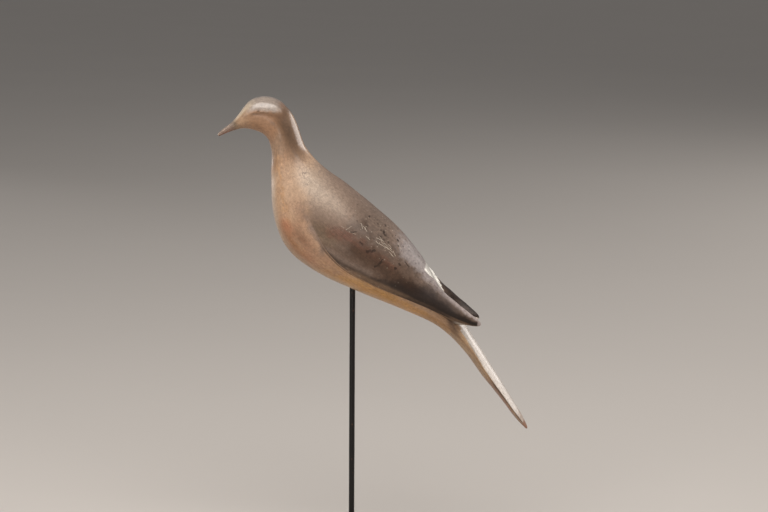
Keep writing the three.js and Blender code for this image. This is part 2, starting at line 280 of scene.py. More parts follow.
class WingSection:
    """The rear of the wing in a slanting section from its ridge to its lower edge, at +Y."""

    def __init__(self, form: BirdForm, along: float) -> None:
        """Reads the section's sizes at a place along."""
        values = form.rear_table.at(along) * form.share
        self.ridge, self.edge = values[0:3] + form.entry, values[3:6] + form.entry
        self.out, self.inward = values[6], values[7]
        self.power = 2 / form.wing_squareness

    def points(self, parts: Sequence[float] | Array, inside: bool = False) -> Array:
        """Points at shares of the way from ridge to edge, over the wing or down its inner side."""
        turns = math.pi * np.asarray(parts, float)
        lean = unit(self.ridge - self.edge)
        away = unit(np.array([0.0, 1.0, 0.0]) - lean * lean[1])
        swell = -self.inward if inside else self.out
        down = (1 - signed_power(np.cos(turns), self.power)) / 2
        proud = swell * np.clip(np.sin(turns), 0, 1) ** self.power
        return self.ridge + down[:, None] * (self.edge - self.ridge) + proud[:, None] * away


class Skin:
    """A closed skin being drawn over loops of points, with each point's place on the bird."""

    def __init__(self) -> None:
        """Starts with nothing drawn."""
        self._points: list[Array] = []
        self._places: list[Array] = []
        self._count = 0
        self.faces: list[tuple[int, ...]] = []

    def lay(self, points: Array, along: float, bands: Array) -> Array:
        """Lays new points.

        Args:
            points: Where they are.
            along: Their share of the way down the bird.
            bands: Their places across the bands of a ring's side.

        Returns:
            The points' numbers.
        """
        self._points.append(points)
        self._places.append(np.column_stack([np.full(len(points), along), bands]))
        self._count += len(points)
        return np.arange(self._count - len(points), self._count)

    def cover(self, loops: Sequence[Array]) -> None:
        """Draws the quads between each loop of numbers and the next."""
        for first, second in zip(loops, loops[1:]):
            quads = [first, second, np.roll(second, -1), np.roll(first, -1)]
            self.faces += [tuple(quad) for quad in np.stack(quads, 1).tolist()]

    def close(self, loop: Array) -> None:
        """Closes the skin inside a loop, which runs anticlockwise seen from outside."""
        middle = self.points[loop].mean(axis=0, keepdims=True)
        along, band = self.places[loop[0]]
        (centre,) = self.lay(middle, along, np.array([band])).tolist()
        self.faces += [(centre, a, b) for a, b in zip(loop.tolist(), np.roll(loop, -1).tolist())]

    @property
    def points(self) -> Array:
        """All points laid so far."""
        return np.vstack(self._points)

    @property
    def places(self) -> Array:
        """Each point's share along and band."""
        return np.vstack(self._places)


def to_the_other_side(points: Array) -> Array:
    """The points mirrored in the plane y = 0."""
    return points * np.array([1.0, -1.0, 1.0])


@dataclass
class BirdSkin:
    """The fine skin of the bird, which splits into a tail and two free wing tips.

    The bands of a side run from the middle of the back to the belly: 0 to 1 is the rump, 1 to 2 the
    inner side of the wing's ridge, 2 to 3 the wing, 3 to 4 the step under its edge, 4 to 5 the flank
    down to its corner, and 5 to 6 the belly.

    rump to belly: how many faces go across each band. The web joins the tips' feet on the tail.
    trunk_rings to end_rings: how many rings each stretch and each round end has.
    bill_round, tail_round, tip_round: how long each end's rounding is, as a share along.
    wing_lift: over what shares across the wing it comes to stand proud.
    tip_foot, tip_step, tip_web: where a tip's inner side begins, and how far its step and web reach.
    flank_clear: how far the flank's corner stays below the step, in degrees.
    """

    form: BirdForm
    rump: int = 10
    inner: int = 6
    wing: int = 44
    step: int = 4
    web: int = 4
    under: int = 10
    belly: int = 30
    trunk_rings: int = 296
    tail_rings: int = 100
    tip_rings: int = 40
    end_rings: int = 8
    bill_round: float = 0.004
    tail_round: float = 0.005
    tip_round: float = 0.006
    first_end_turn: float = 0.15
    wing_lift: tuple[float, float] = (0.25, 1)
    tip_foot: float = 0.55
    tip_step: float = 0.2
    tip_web: float = 0.25
    flank_clear: float = 8.0

    def bands(self) -> Array:
        """The band of each point of a trunk side."""
        counts = (self.rump, self.inner, self.wing, self.step, self.under, self.belly)
        return np.concatenate([[0.0], *(i + shares(n) for i, n in enumerate(counts))])

    def tail_bands(self) -> Array:
        """The band of each point of a tail side, whose web between the tips counts as flank."""
        tail = (shares(self.rump), np.full(self.web, 4.0), 4 + shares(self.under), 5 + shares(self.belly))
        return np.concatenate([[0.0], *tail])

    def guides(self, cut: Slice, along: float) -> tuple[float, float, float, float]:
        """The turns of the ridge's foot, the step's foot and the flank, and the wing's stand."""
        ridge, under, stand, flank = self.form.line_table.at(along)
        step_foot = cut.turn_down(under)
        stand = self.form.wing_proud * min(max(stand, 0.0), 1.0)
        flank = max(math.radians(flank), step_foot + math.radians(self.flank_clear))
        return math.radians(ridge), step_foot, flank, stand

    def below_step(self, cut: Slice, step_foot: float, flank: float) -> Array:
        """The points from just below the step's foot to the middle of the belly."""
        flank_turns = step_foot + (flank - step_foot) * shares(self.under)
        belly_turns = flank + (math.pi - flank) * shares(self.belly)
        return cut.points(np.concatenate([flank_turns, belly_turns]))

    def trunk_side(self, along: float) -> Array:
        """The +Y side of a ring where head, body, wings and tail are one."""
        form, cut = self.form, Slice(self.form, along)
        ridge_foot, step_foot, flank, stand = self.guides(cut, along)
        girth = (np.linalg.norm(cut.rise) + cut.half) / 2
        start = ridge_foot + form.ridge_share * (step_foot - ridge_foot)
        end = step_foot - min(form.wing_undercut / girth, (step_foot - start) / 10)
        across = all_shares(self.wing)
        turns = start + (end - start) * across
        lift = stand * ease(across, *self.wing_lift)
        over = cut.points(turns) + cut.outward(turns) * lift[:, None]
        rear = float(ease(along, form.rear_begins, form.rear_whole))
        section = WingSection(form, max(along, form.wing_rear[0][0]))
        over += (section.points(across) - over) * rear
        rump = cut.points(ridge_foot * all_shares(self.rump))
        inner = rump[-1] + (over[0] - rump[-1]) * shares(self.inner)[:, None]
        (foot,) = cut.points([step_foot])
        step = over[-1] + (foot - over[-1]) * shares(self.step)[:, None]
        return np.vstack([rump, inner, over[1:], step, self.below_step(cut, step_foot, flank)])

    def tail_side(self, along: float) -> Array:
        """The +Y side of a ring of the tail."""
        cut = Slice(self.form, along)
        ridge_foot, step_foot, flank, _ = self.guides(cut, along)
        top = ridge_foot * all_shares(self.rump)
        web = ridge_foot + (step_foot - ridge_foot) * shares(self.web)
        return np.vstack([cut.points(np.concatenate([top, web])), self.below_step(cut, step_foot, flank)])

    def tip_loop(self, along: float) -> Array:
        """The free wing tip at +Y, from its inner foot over the wing, under it and back inside."""
        section = WingSection(self.form, along)
        inner = section.points(self.tip_foot * (1 - all_shares(self.inner)), inside=True)
        over = section.points(shares(self.wing))
        web = 1 - self.tip_step - self.tip_web * shares(self.web)[:-1]
        back = np.concatenate([1 - self.tip_step * shares(self.step), web])
        return np.vstack([inner, over, section.points(back, inside=True)])

    @staticmethod
    def ring(side: Array) -> Array:
        """The whole ring whose +Y side is given."""
        return np.vstack([side, to_the_other_side(side[-2:0:-1])])

    @staticmethod
    def rounded(points: Array, left: float, over: float) -> Array:
        """A loop drawn in towards its middle as an end comes near.

        Args:
            points: The loop.
            left: How far it still is to the end.
            over: How long the rounding is.

        Returns:
            The loop, smaller by a quarter circle's law.
        """
        if left >= over:
            return points
        middle = points.mean(axis=0)
        return middle + (points - middle) * math.sqrt(max(1 - (1 - left / over) ** 2, 0.0))

    def end_places(self, over: float) -> Array:
        """Places from near an end inwards, close together where the end is round."""
        turns = np.linspace(self.first_end_turn, math.pi / 2, self.end_rings)
        return over * (1 - np.cos(turns))

    def draw(self) -> Skin:
        """Draws the skin.

        Returns:
            The closed skin of the trunk, the tail and both wing tips.
        """
        form, skin = self.form, Skin()
        bands, tail_bands = self.bands(), self.tail_bands()
        ring_bands, tail_ring_bands = there_and_back(bands), there_and_back(tail_bands)

        head = self.end_places(self.bill_round)
        places = np.concatenate([head, np.linspace(self.bill_round, form.tips_free, self.trunk_rings)[1:]])
        trunk = []
        for along in places:
            loop = self.rounded(self.ring(self.trunk_side(along)), along, self.bill_round)
            trunk.append(skin.lay(loop, along, ring_bands))
        skin.cover(trunk)
        skin.close(trunk[0])

        last, n = trunk[-1], len(bands)
        right, left = last[:n], np.roll(last[::-1], 1)[:n]
        foot, step = self.rump, self.rump + self.inner + self.wing + self.step
        web = self.tail_side(form.tips_free)[foot + 1 : foot + self.web]
        web_bands = np.full(len(web), 4.0)
        right_web = skin.lay(web, form.tips_free, web_bands)
        left_web = skin.lay(to_the_other_side(web), form.tips_free, web_bands)

        down = np.concatenate([right[: foot + 1], right_web, right[step:]])
        up = np.concatenate([left[: foot + 1], left_web, left[step:]])[-2:0:-1]
        tail = [np.concatenate([down, up])]
        even = np.linspace(form.tips_free, 1 - self.tail_round, self.tail_rings)[1:]
        for along in np.concatenate([even, 1 - self.end_places(self.tail_round)[::-1][1:]]):
            loop = self.rounded(self.ring(self.tail_side(along)), 1 - along, self.tail_round)
            tail.append(skin.lay(loop, along, tail_ring_bands))
        skin.cover(tail)
        skin.close(tail[-1][::-1])

        tip_bands = np.concatenate([bands[foot : step + 1], np.ones(self.web - 1)])
        joined = np.concatenate([right[foot : step + 1], right_web[::-1]])
        offset = skin.points[joined] - self.tip_loop(form.tips_free)
        tips = [[joined], [np.concatenate([left[foot : step + 1], left_web[::-1]])[::-1]]]
        even = np.linspace(form.tips_free, form.tips_end - self.tip_round, self.tip_rings)[1:]
        for along in np.concatenate([even, form.tips_end - self.end_places(self.tip_round)[::-1][1:]]):
            hold = 1 - float(ease(along, form.tips_free, form.tips_end))
            loop = self.rounded(self.tip_loop(along) + offset * hold, form.tips_end - along, self.tip_round)
            tips[0].append(skin.lay(loop, along, tip_bands))
            tips[1].append(skin.lay(to_the_other_side(loop)[::-1], along, tip_bands[::-1]))
        for tip in tips:
            skin.cover(tip)
            skin.close(tip[-1][::-1])
        return skin


@dataclass
class Carving:
    """What the knife and years of handling left in the surface, as moves of the skin's points.

    held: how far the ends are kept from being rubbed soft, over held_at_bill and held_at_tail.
    calm_bill: the shares along over which the tool marks begin, since the bill is smooth.
    mouth: the mouth's line as [x, z] in millimetres, and mouth_reach its half width there.
    mouth_facing: how far the wood must face sideways for the mouth's line to be cut into it.
    eye: the middle of the worn ring round each eye, in millimetres, the same on both sides.
    dents: shallow dents, as x, y, z, reach and depth in millimetres.
    """

    soften_passes: int = 4
    soften_share: float = 0.5
    held: float = 0.8
    held_at_bill: tuple[float, float] = (0.03, 0.0)
    held_at_tail: tuple[float, float] = (0.97, 1.0)
    calm_bill: tuple[float, float] = (0.02, 0.12)
    facet_size: float = 0.017
    facet_depth: float = 0.00022
    ripple_size: float = 0.006
    ripple_depth: float = 0.00006
    mouth: Table = ((-115.6, 381.6), (-110.5, 385), (-104, 389.2), (-98.5, 392.4))
    mouth_reach: float = 0.45
    mouth_depth: float = 0.00028
    mouth_facing: tuple[float, float] = (0.25, 0.7)
    eye: tuple[float, float, float] = (-80.8, 11.6, 403.2)
    eye_radius: float = 0.0013
    eye_softness: float = 0.0005
    eye_depth: float = 0.00016
    dents: Table = (
        (16.1, -32.2, 293.8, 1.6, 0.3),
        (-1.0, -28.4, 314.6, 2.2, 0.25),
        (-58.0, -14.8, 352.0, 2.6, 0.2),
        (40.9, -29.6, 277.1, 1.8, 0.3),
        (-27.0, -33.0, 299.0, 2.4, 0.2),
        (12.0, 31.0, 300.0, 2.0, 0.3),
        (-30.0, 27.0, 330.0, 2.6, 0.25),
        (50.0, 27.0, 262.0, 2.2, 0.3),
        (6.0, 3.0, 331.0, 2.4, 0.25),
        (-40.0, 12.0, 362.0, 1.8, 0.2),
    )

    def soften(self, points: Array, faces: Sequence[Sequence[int]], hold: Array) -> Array:
        """Rubs the edges soft.

        Args:
            points: The skin's points.
            faces: Its faces.
            hold: How far each point is held where it is, from 0 to 1.

        Returns:
            The points, each drawn towards its neighbours a few times.
        """
        pairs = [np.array([f for f in faces if len(f) == n]) for n in (3, 4)]
        edges = np.vstack([np.stack([f, np.roll(f, -1, axis=1)], 2).reshape(-1, 2) for f in pairs if len(f)])
        edges = np.unique(np.sort(edges, axis=1), axis=0)
        ends = np.concatenate([edges[:, 0], edges[:, 1]])
        others = np.concatenate([edges[:, 1], edges[:, 0]])
        count = np.bincount(ends, minlength=len(points))[:, None]
        for _ in range(self.soften_passes):
            totals = [np.bincount(ends, points[others, axis], len(points)) for axis in range(3)]
            drawn = self.soften_share * (1 - hold)[:, None]
            points = points + (np.stack(totals, 1) / count - points) * drawn
        return points

    @staticmethod
    def normals(points: Array, faces: Sequence[Sequence[int]]) -> Array:
        """The way out of the skin at each point."""
        total = np.zeros_like(points)
        quads = np.array([f if len(f) == 4 else (*f, f[-1]) for f in faces])
        a, b, c, d = (points[quads[:, i]] for i in range(4))
        across = np.cross(c - a, d - b)
        for corner in quads.T:
            for axis in range(3):
                total[:, axis] += np.bincount(corner, across[:, axis], len(points))
        return unit(total)

    def work(self, points: Array, faces: Sequence[Sequence[int]], places: Array) -> Array:
        """Carves the surface.

        Args:
            points: The skin's points as drawn.
            faces: Its faces.
            places: Each point's share along and band.

        Returns:
            The softened skin with its facets, ripples, dents, mouth line and eyes.
        """
        along = places[:, 0]
        hold = np.maximum(ease(along, *self.held_at_bill), ease(along, *self.held_at_tail)) * self.held
        points = self.soften(points, faces, hold)
        out = self.normals(points, faces)
        calm = ease(along, *self.calm_bill)
        facets = np.array([noise.noise(Vector(p / self.facet_size)) for p in points])
        ripple = np.array([noise.noise(Vector(p / self.ripple_size)) for p in points])
        move = (facets * self.facet_depth + ripple * self.ripple_depth) * calm
        for x, y, z, reach, depth in self.dents:
            away = np.linalg.norm(points - np.array([x, y, z]) * MM, axis=1)
            move -= depth * MM * bump(away, 0, reach * MM)
        away = np.linalg.norm(np.abs(points) - np.abs(self.eye) * MM, axis=1)
        move -= self.eye_depth * bump(away, self.eye_radius, self.eye_softness) * (points[:, 0] < 0)
        line = SideView(points).stroke(self.mouth_reach, self.mouth)
        move -= self.mouth_depth * line * ease(np.abs(out[:, 1]), *self.mouth_facing)
        return points + out * move[:, None]


class SideView:
    """Soft shapes laid out in the side view, in millimetres, the same on both sides of the bird."""

    def __init__(self, points: Array) -> None:
        """Takes the points in metres."""
        self.flat = points[:, [0, 2]] / MM

    def patch(self, x: float, z: float, long: float, across: float, lean: float) -> Array:
        """A soft oval.

        Args:
            x: Its middle's x.
            z: Its middle's z.
            long: Its reach the long way.
            across: Its reach across that.
            lean: The slope of its long way, in degrees above +X.

        Returns:
            How strongly each point lies in it, from 0 to 1.
        """
        away = self.flat - np.array([x, z])
        turn = math.radians(lean)
        u = away @ np.array([math.cos(turn), math.sin(turn)])
        v = away @ np.array([-math.sin(turn), math.cos(turn)])
        return np.exp(-((u / long) ** 2) - (v / across) ** 2)

    def stroke(self, reach: float, line: Table) -> Array:
        """A soft brush stroke along a line.

        Args:
            reach: How far the stroke reaches to each side.
            line: The line's [x, z] points.

        Returns:
            How strongly each point lies in it, from 0 to 1.
        """
        nearest = np.full(len(self.flat), np.inf)
        for start, end in zip(np.array(line)[:-1], np.array(line)[1:]):
            span = end - start
            share = np.clip((self.flat - start) @ span / (span @ span), 0, 1)
            away = np.linalg.norm(self.flat - start - share[:, None] * span, axis=1)
            nearest = np.minimum(nearest, away)
        return bump(nearest, 0, reach)


class BirdPlaces(SideView):
    """Each point's place in the side view and along the bird's own directions."""

    def __init__(self, points: Array, places: Array, level: Array) -> None:
        """Reads the places.

        Args:
            points: The bird's points.
            places: Each point's share along and band.
            level: How high each lies in its slice, from -1 at the belly to 1 at the back.
        """
        super().__init__(points)
        self.x, self.z = self.flat.T
        self.wide, self.far = np.abs(points[:, 1]) / MM, points[:, 1] > 0
        self.along, self.band = places.T
        self.level = level
        self.on_tail = (self.along > 0.7) & ((self.band < 1.001) | (self.band > 3.999))
        self.on_wing = ease(self.band, 3.14, 3.0)
        # the near side alone, where the wing tip's painted highlight and its rub lie
        self.tip_end = (self.z > 200) & ~self.far


Masks = dict[str, Array]


@dataclass(frozen=True)
class PaintPlan:
    """Where each paint, stain and rubbed place lies. Lengths are in millimetres, bands as in BirdSkin.

    courses: by name, [place, value] knots, where the place is a share along unless the name says.
    patches: by name, soft ovals, each as strength, x, z, reach the long way, across it, and lean.
    strokes: by name, a soft line as its reach and its [x, z] points.
    as_drawn: the patches and strokes that are laid without any change.
    """

    courses: dict[str, Table] = field(
        default_factory=lambda: {
            "back_x_at_z": ((292, -27.5), (296, -31), (309, -39), (327, -41), (345, -36), (372, -26)),
            "back_soft_at_z": ((292, 3), (309, 9), (330, 17), (351, 19), (372, 14)),
            "crown_z_at_x": (
                (-101, 391), (-96, 398), (-90, 402), (-82, 403.6), (-65, 402.6), (-56, 399), (-48, 390),
            ),
            "rump_at_band": ((0, 0.558), (0.8, 0.56), (1.5, 0.561), (2.1, 0.563)),
            "dark": (
                (0.5, 3), (0.545, 2.82), (0.57, 2.72), (0.61, 2.45),
                (0.645, 2.42), (0.7, 2.43), (0.775, 2.38),
            ),
            "dark_above": ((0.53, 0.13), (0.58, 0.3), (0.66, 0.32), (0.7, 0.22)),
            "dark_below": ((0.6, 0.13), (0.67, 0.2)),
            "inner_edge": ((0.59, 2.12), (0.61, 1.97), (0.63, 1.72), (0.65, 1.42), (0.68, 1.05)),
            "ridge": (
                (0.45, 2.05), (0.48, 2.2), (0.513, 2.35), (0.541, 2.36),
                (0.578, 2.29), (0.65, 2.21), (0.72, 2.28), (0.78, 2.25),
            ),
            "wing_line": (
                (0.38, 3.1), (0.41, 3.05), (0.44, 2.99), (0.469, 2.95), (0.498, 2.89),
                (0.532, 2.88), (0.56, 2.84), (0.6, 2.78), (0.66, 2.74),
            ),
            "edge_wear": ((0.56, 1), (0.61, 0.4), (0.66, 0.15), (0.69, 0.3), (0.705, 0.8)),
            "tail_corner": (
                (0.715, 3.7), (0.73, 3.93), (0.749, 4.2), (0.766, 4.62), (0.78, 4.84),
                (0.86, 4.9), (0.91, 4.72), (0.94, 4.5), (0.96, 4.35),
            ),
            "head_shine": ((0.09, 2.95), (0.117, 2.6), (0.129, 2.36), (0.137, 2.2), (0.149, 1.9)),
        }
    )
    patches: dict[str, Table] = field(
        default_factory=lambda: {
            # the mantle's pale paint, partly a painted highlight of the light above
            "mantle": ((1, -35, 343, 19, 11, -50), (0.5, -14, 326, 15, 9, -45)),
            "front_shade": ((1, -42.5, 319, 12, 7, -62),),
            # painted shadow of the wing tips on the tail's root
            "tail_root": ((1, 86.8, 219, 11, 3.6, -64),),
            # darkest part of the neck's side, partly painted shade
            "nape_deep": ((1, -55.8, 387, 11, 4.2, -64),),
            "grey_mid": ((1, 20, 309, 26, 12, -47),),
            "stain": ((1, -44, 296.5, 12, 4.6, -50),),
            "cheek_rear": ((0.8, -69, 387, 9, 5, -20),),
            "bill_root": ((1, -101.5, 391, 3, 6, 40),),
            "front": ((1, -24, 301, 17, 9, -45),),
            "warm_dark": ((1, 47, 256.5, 11, 4.5, -38),),
            "crown_rear": ((0.75, -62, 411, 7.5, 5, -45),),
            "lore_low": ((1, -96, 394, 8, 7, 40),),
            "lore_high": ((1, -93, 401, 6, 5, 50),),
            "red": ((1, -56, 306, 8, 4.6, -62), (0.5, -36, 280, 9, 4, -48)),
            "speckle": ((1, 30, 297, 40, 18, -48),),
            "netted": ((1, -40, 348, 24, 16, -55),),
        }
    )
    strokes: dict[str, tuple[float, Table]] = field(
        default_factory=lambda: {
            "streak": (3.6, ((-63, 362), (-61, 336), (-57, 312), (-51, 297), (-42, 284))),
            "smear": (5.5, ((-17, 304), (-3, 299), (8, 290), (20, 281), (32, 273))),
            # painted highlight along the wing's lower part, above its edge
            "low_band": (3.4, ((-22, 288), (-8, 278.5), (8, 270.5), (15, 267))),
            # dark paint down the side of the neck, partly painted shade
            "nape": (
                7.5,
                ((-57.5, 402), (-60.5, 396.8), (-57.3, 389.3), (-54.5, 381), (-50.7, 373.4), (-47.5, 367.5)),
            ),
            "neck_shine": (8.0, ((-57, 401), (-52, 390), (-48, 379), (-43, 370))),
            "cheek": (4.5, ((-94, 393.5), (-86, 392.5), (-78, 390))),
            "brow": (1.8, ((-88, 400.3), (-80, 401), (-70, 400.3), (-60, 397.5))),
            "flank": (7.5, ((-46, 307), (-40, 296), (-30, 284), (-19, 275), (-8, 269))),
            "lilac": (10, ((36, 305), (55, 282), (75, 256))),
            "mid_shade": (5.0, ((10, 309), (15.5, 300), (19.5, 290), (24, 282))),
            "low_shade": (6.5, ((2, 288), (13, 282), (24.4, 273.4), (36.5, 263.5), (48.6, 255.5))),
            "low_breast": (8.5, ((-62, 300), (-50, 281), (-32, 265), (-8, 254))),
            "eye_line": (0.8, ((-86, 400.6), (-76, 402.2), (-66, 401.6))),
        }
    )
    as_drawn: tuple[str, ...] = (
        "front_shade", "stain", "crown_rear", "bill_root", "red",
        "flank", "brow", "low_breast", "streak", "eye_line",
    )

    def course(self, name: str, place: Array) -> Array:
        """A named course read at each place, straight between its knots."""
        return np.interp(place, *np.array(self.courses[name]).T)

    def lay(self, at: BirdPlaces) -> Masks:
        """The strength of each paint or wear at each place on the bird, by name."""
        soft = {name: sum(s * at.patch(*oval) for s, *oval in rows) for name, rows in self.patches.items()}
        soft |= {name: at.stroke(*stroke) for name, stroke in self.strokes.items()}
        masks = {name: soft[name] for name in self.as_drawn}
        for region in (self.body, self.head, self.wing, self.rear):
            masks |= region(at, soft)
        return masks | self.wear(at, soft, masks)

    def body(self, at: BirdPlaces, soft: Masks) -> Masks:
        """The paints of the back, the breast and the belly, with painted sheen on the mantle, along the
        breast's front edge and along the belly's lower rim.
        """
        along, level = at.along, at.level
        edge, blur = self.course("back_x_at_z", at.z), self.course("back_soft_at_z", at.z)
        back = ease(at.x, edge - blur, edge + blur) * ease(at.z, 392, 376)
        return {
            "back": back * (1 - ease(along, 0.4, 0.45) * (1 - at.on_wing)),
            # pale paint on the mantle, partly a painted highlight
            "mantle": np.minimum(soft["mantle"], 1),
            "throat": between(along, 0.13, 0.165, 0.18, 0.225),
            # painted sheen along the breast's front edge
            "breast_rub": ease(at.wide, 16, 7)
            * (ease(level, 0.2, -0.2) * between(along, 0.21, 0.25, 0.33, 0.4)),
            "belly": ease(level, -0.1, -0.7) * ease(along, 0.4, 0.56),
            # painted sheen along the belly's lower rim, as of light from below
            "low_edge": ease(level, -0.72, -0.95) * between(along, 0.27, 0.33, 0.55, 0.66),
            "under_root": between(along, 0.63, 0.69, 0.73, 0.76),
        }

    def head(self, at: BirdPlaces, soft: Masks) -> Masks:
        """The paints of the bill, the face, the crown and the nape, with painted highlights on the bill's top
        and the forehead, and the nape's dark paint partly painted shade.
        """
        x, z, level = at.x, at.z, at.level
        return {
            "bill": ease(x, -98, -104),
            # painted highlight along the bill's top
            "bill_top": ease(level, 0.1, 0.6) * ease(x, -101, -104),
            "bill_low": ease(level, -0.3, -0.7) * ease(x, -104, -107),
            # pale paint on the forehead's top, partly a painted highlight
            "forehead": ease(level, 0.45, 0.8) * between(at.along, 0.04, 0.05, 0.075, 0.1),
            "crown": ease(z - self.course("crown_z_at_x", x), -3, 3) * between(x, -97, -86, -68, -56),
            "lore": np.maximum(soft["lore_low"], soft["lore_high"]),
            "cheek": np.maximum(soft["cheek"], soft["cheek_rear"]),
            # dark paint on the neck's side, partly painted shade beside the nape's highlight
            "nape": soft["nape"] * np.maximum(ease(at.wide, 3, 8), ease(z, 398, 403)),
            "nape_deep": soft["nape_deep"] * ease(at.wide, 4, 9),
        }

    def wing(self, at: BirdPlaces, soft: Masks) -> Masks:
        """The paints of the wings, from their fronts to their tips, with painted shade on the far wing's rim
        and the wings' inner sides, and painted highlights along the wings' lower parts, the near ridge and
        the near tip.
        """
        along, band, on_wing, off_tail = at.along, at.band, at.on_wing, ~at.on_tail
        near_ridge = (band > 1.99) * off_tail
        # painted shade along the far wing's rim, on that wing alone
        far_rim_shade = at.far * bump(band, 2.0, 0.09) * ease(along, 0.6, 0.65) * off_tail
        border = self.course("dark", along)
        top, foot = border - self.course("dark_above", along), border + self.course("dark_below", along)
        dark = ease(band, top, foot) * on_wing * (along > 0.5) * off_tail
        inner = self.course("inner_edge", along)
        # the wings' inner sides, dark paint partly painted shade
        inside = ease(band, inner, inner + 0.08) * ease(along, 0.6, 0.61) * (band < 2.0) * off_tail
        line, ridge = self.course("wing_line", along), self.course("ridge", along)
        worn = ease(band, line - 0.02, line + 0.04) * ease(band, 3.12, 3.04) * ease(along, 0.46, 0.5)
        worn = worn * off_tail * self.course("edge_wear", along)
        shade = np.maximum(soft["low_shade"], 0.5 * soft["mid_shade"]) * on_wing * off_tail * (band > 2.0)
        tip = ease(band, ridge + 0.06, ridge - 0.1) * ease(along, 0.62, 0.71) * near_ridge * (1 - far_rim_shade)
        return {
            "front": soft["front"] * on_wing,
            "grey_mid": soft["grey_mid"] * on_wing,
            "smear": soft["smear"] * on_wing,
            # painted highlight along the wing's lower part
            "low_band": soft["low_band"] * on_wing * ease(band, 2.3, 2.6),
            "warm_dark": soft["warm_dark"] * on_wing * off_tail,
            "wing_side": ease(band, 2.1, 2.42) * ease(along, 0.375, 0.415) * on_wing,
            "low_wing": ease(band, 2.35, 2.72) * ease(along, 0.4, 0.47) * on_wing * off_tail,
            # dark wing paint, with painted shade on the inner sides and on the far wing's rim
            "dark": np.maximum.reduce([dark, 0.8 * inside, far_rim_shade]),
            # lilac-grey paint along the ridge, partly a painted sheen; past the wing's middle it lies on the
            # near side alone
            "ridge": ease(band, ridge + 0.14, ridge - 0.14)
            * (ease(along, 0.44, 0.52) * ((band > 1.99) | (along < 0.6)) * (1 - far_rim_shade)),
            # painted sheen on the near wing tip's top, and a painted highlight at its very end
            "tip": np.maximum(tip, ease(at.x, 107.6, 109.2) * at.tip_end),
            "tip_grey": ease(band, ridge + 0.5, ridge + 0.12)
            * (between(along, 0.59, 0.63, 0.68, 0.72) * near_ridge),
            "shade": shade * (1 - 0.5 * worn),
            "worn_edge": worn,
            # a thin dark line along the wing's lower edge
            "edge_line": bump(band, line, 0.035) * between(along, 0.385, 0.43, 0.56, 0.6),
        }

    def rear(self, at: BirdPlaces, soft: Masks) -> Masks:
        """The paints of the rump and the tail, with a painted shadow under the wing tips; the rump's pale
        paint is partly a painted highlight.
        """
        along, band, on_tail = at.along, at.band, at.on_tail
        rump = self.rump(at) * ~on_tail
        corner = self.course("tail_corner", along)
        side = np.where(band < 2, 1, ease(along, 0.7, 0.72))
        pale = on_tail * side * ease(band, corner + 0.11, corner - 0.11)
        under_tip = ease(along, 0.704, 0.718) * ease(band, 3.05, 3.25) * (band < 3.999)
        side_grey = pale * ease(band, corner - 0.95, corner - 0.5) * ease(along, 0.84, 0.775)
        low_line = bump(band, corner + 0.2, 0.26) * ease(along, 0.845, 0.89)
        high_line = 0.35 * bump(band, corner + 0.1, 0.16) * ease(along, 0.8, 0.74)
        return {
            # pale paint on the rump, partly a painted highlight of the light behind
            "rump": rump,
            "rump_root": rump * ease(along, 0.625, 0.58),
            "rump_end": rump * ease(along, 0.64, 0.695),
            "pale": pale,
            # painted shadow under the wing tips, where the tail leaves the body
            "tail_root": soft["tail_root"] * (1 - pale) * (band > 2.99),
            "tail_grey": np.maximum(side_grey, under_tip),
            # thin dark lines along the tail's side edge
            "tail_line": np.maximum(low_line, high_line) * on_tail,
            "tail_red": ease(band, 5.05, 5.3) * ease(along, 0.83, 0.9) * on_tail,
            "tail_under": ease(along, 0.71, 0.75) * ease(band, corner - 0.11, corner + 0.11) * on_tail,
            "tail_end": ease(along, 0.945, 0.972),
            "bare": ease(along, 0.972, 0.99),
        }

    def rump(self, at: BirdPlaces) -> Array:
        """The pale rump between the wings."""
        start, inner = self.course("rump_at_band", at.band), self.course("inner_edge", at.along)
        return ease(at.along, start, start + 0.014) * ease(at.band, inner + 0.03, inner - 0.03)

    def wear(self, at: BirdPlaces, soft: Masks, masks: Masks) -> Masks:
        """Shine, speckles, cracks, painted shade and dirt in the hollows, and rubbed edges with painted
        highlights on the near wing.
        """
        along, band, near = at.along, at.band, ~at.far
        low = self.course("head_shine", along)
        shine = (
            0.3 * (1 - masks["back"]),
            between(along, 0.045, 0.08, 0.13, 0.17) * ease(band, low + 0.12, low - 0.16),
            soft["neck_shine"] * ease(at.wide, 0, 4.5),
            0.7 * self.rump(at),
            np.where(at.on_tail, 0.35 * ease(along, 0.7, 0.73), 0.12),
        )
        hollows = (
            # painted shade with dirt in the hollows: under the wing's edge, between the wings and round the
            # rod's socket
            0.7 * between(band, 3.3, 3.7, 4.0, 4.09) * between(along, 0.385, 0.425, 0.7, 0.72),
            0.8 * bump(band, 1.05, 0.2) * between(along, 0.575, 0.62, 0.715, 0.73),
            bump(np.hypot(at.x, at.wide), 0, 4.0) * (np.abs(at.z - 247) < 9),
        )
        edges = (
            0.25 * bump(band, 2.97, 0.05) * ease(along, 0.43, 0.47),
            # a painted highlight along the near wing's ridge
            0.3 * bump(band, 2.0, 0.12) * ease(along, 0.57, 0.62) * near,
            0.6 * bump(band, 5.0, 0.14) * between(along, 0.73, 0.78, 0.83, 0.87),
            # a painted highlight at the near wing tip's very end
            ease(at.x, 110, 112) * (along > 0.72) * at.tip_end,
            0.4 * ease(at.x, -113, -116),
        )
        crown = masks["crown"]
        return {
            "gloss": np.maximum.reduce(shine),
            "speckle": np.maximum.reduce([soft["speckle"], 0.8 * soft["lilac"], 0.08 * crown]),
            "netted": np.maximum(soft["netted"], np.where(along > 0.2, 0.4, 0.45 * crown)),
            "crevice": np.maximum.reduce(hollows),
            "rub": np.maximum.reduce(edges),
        }


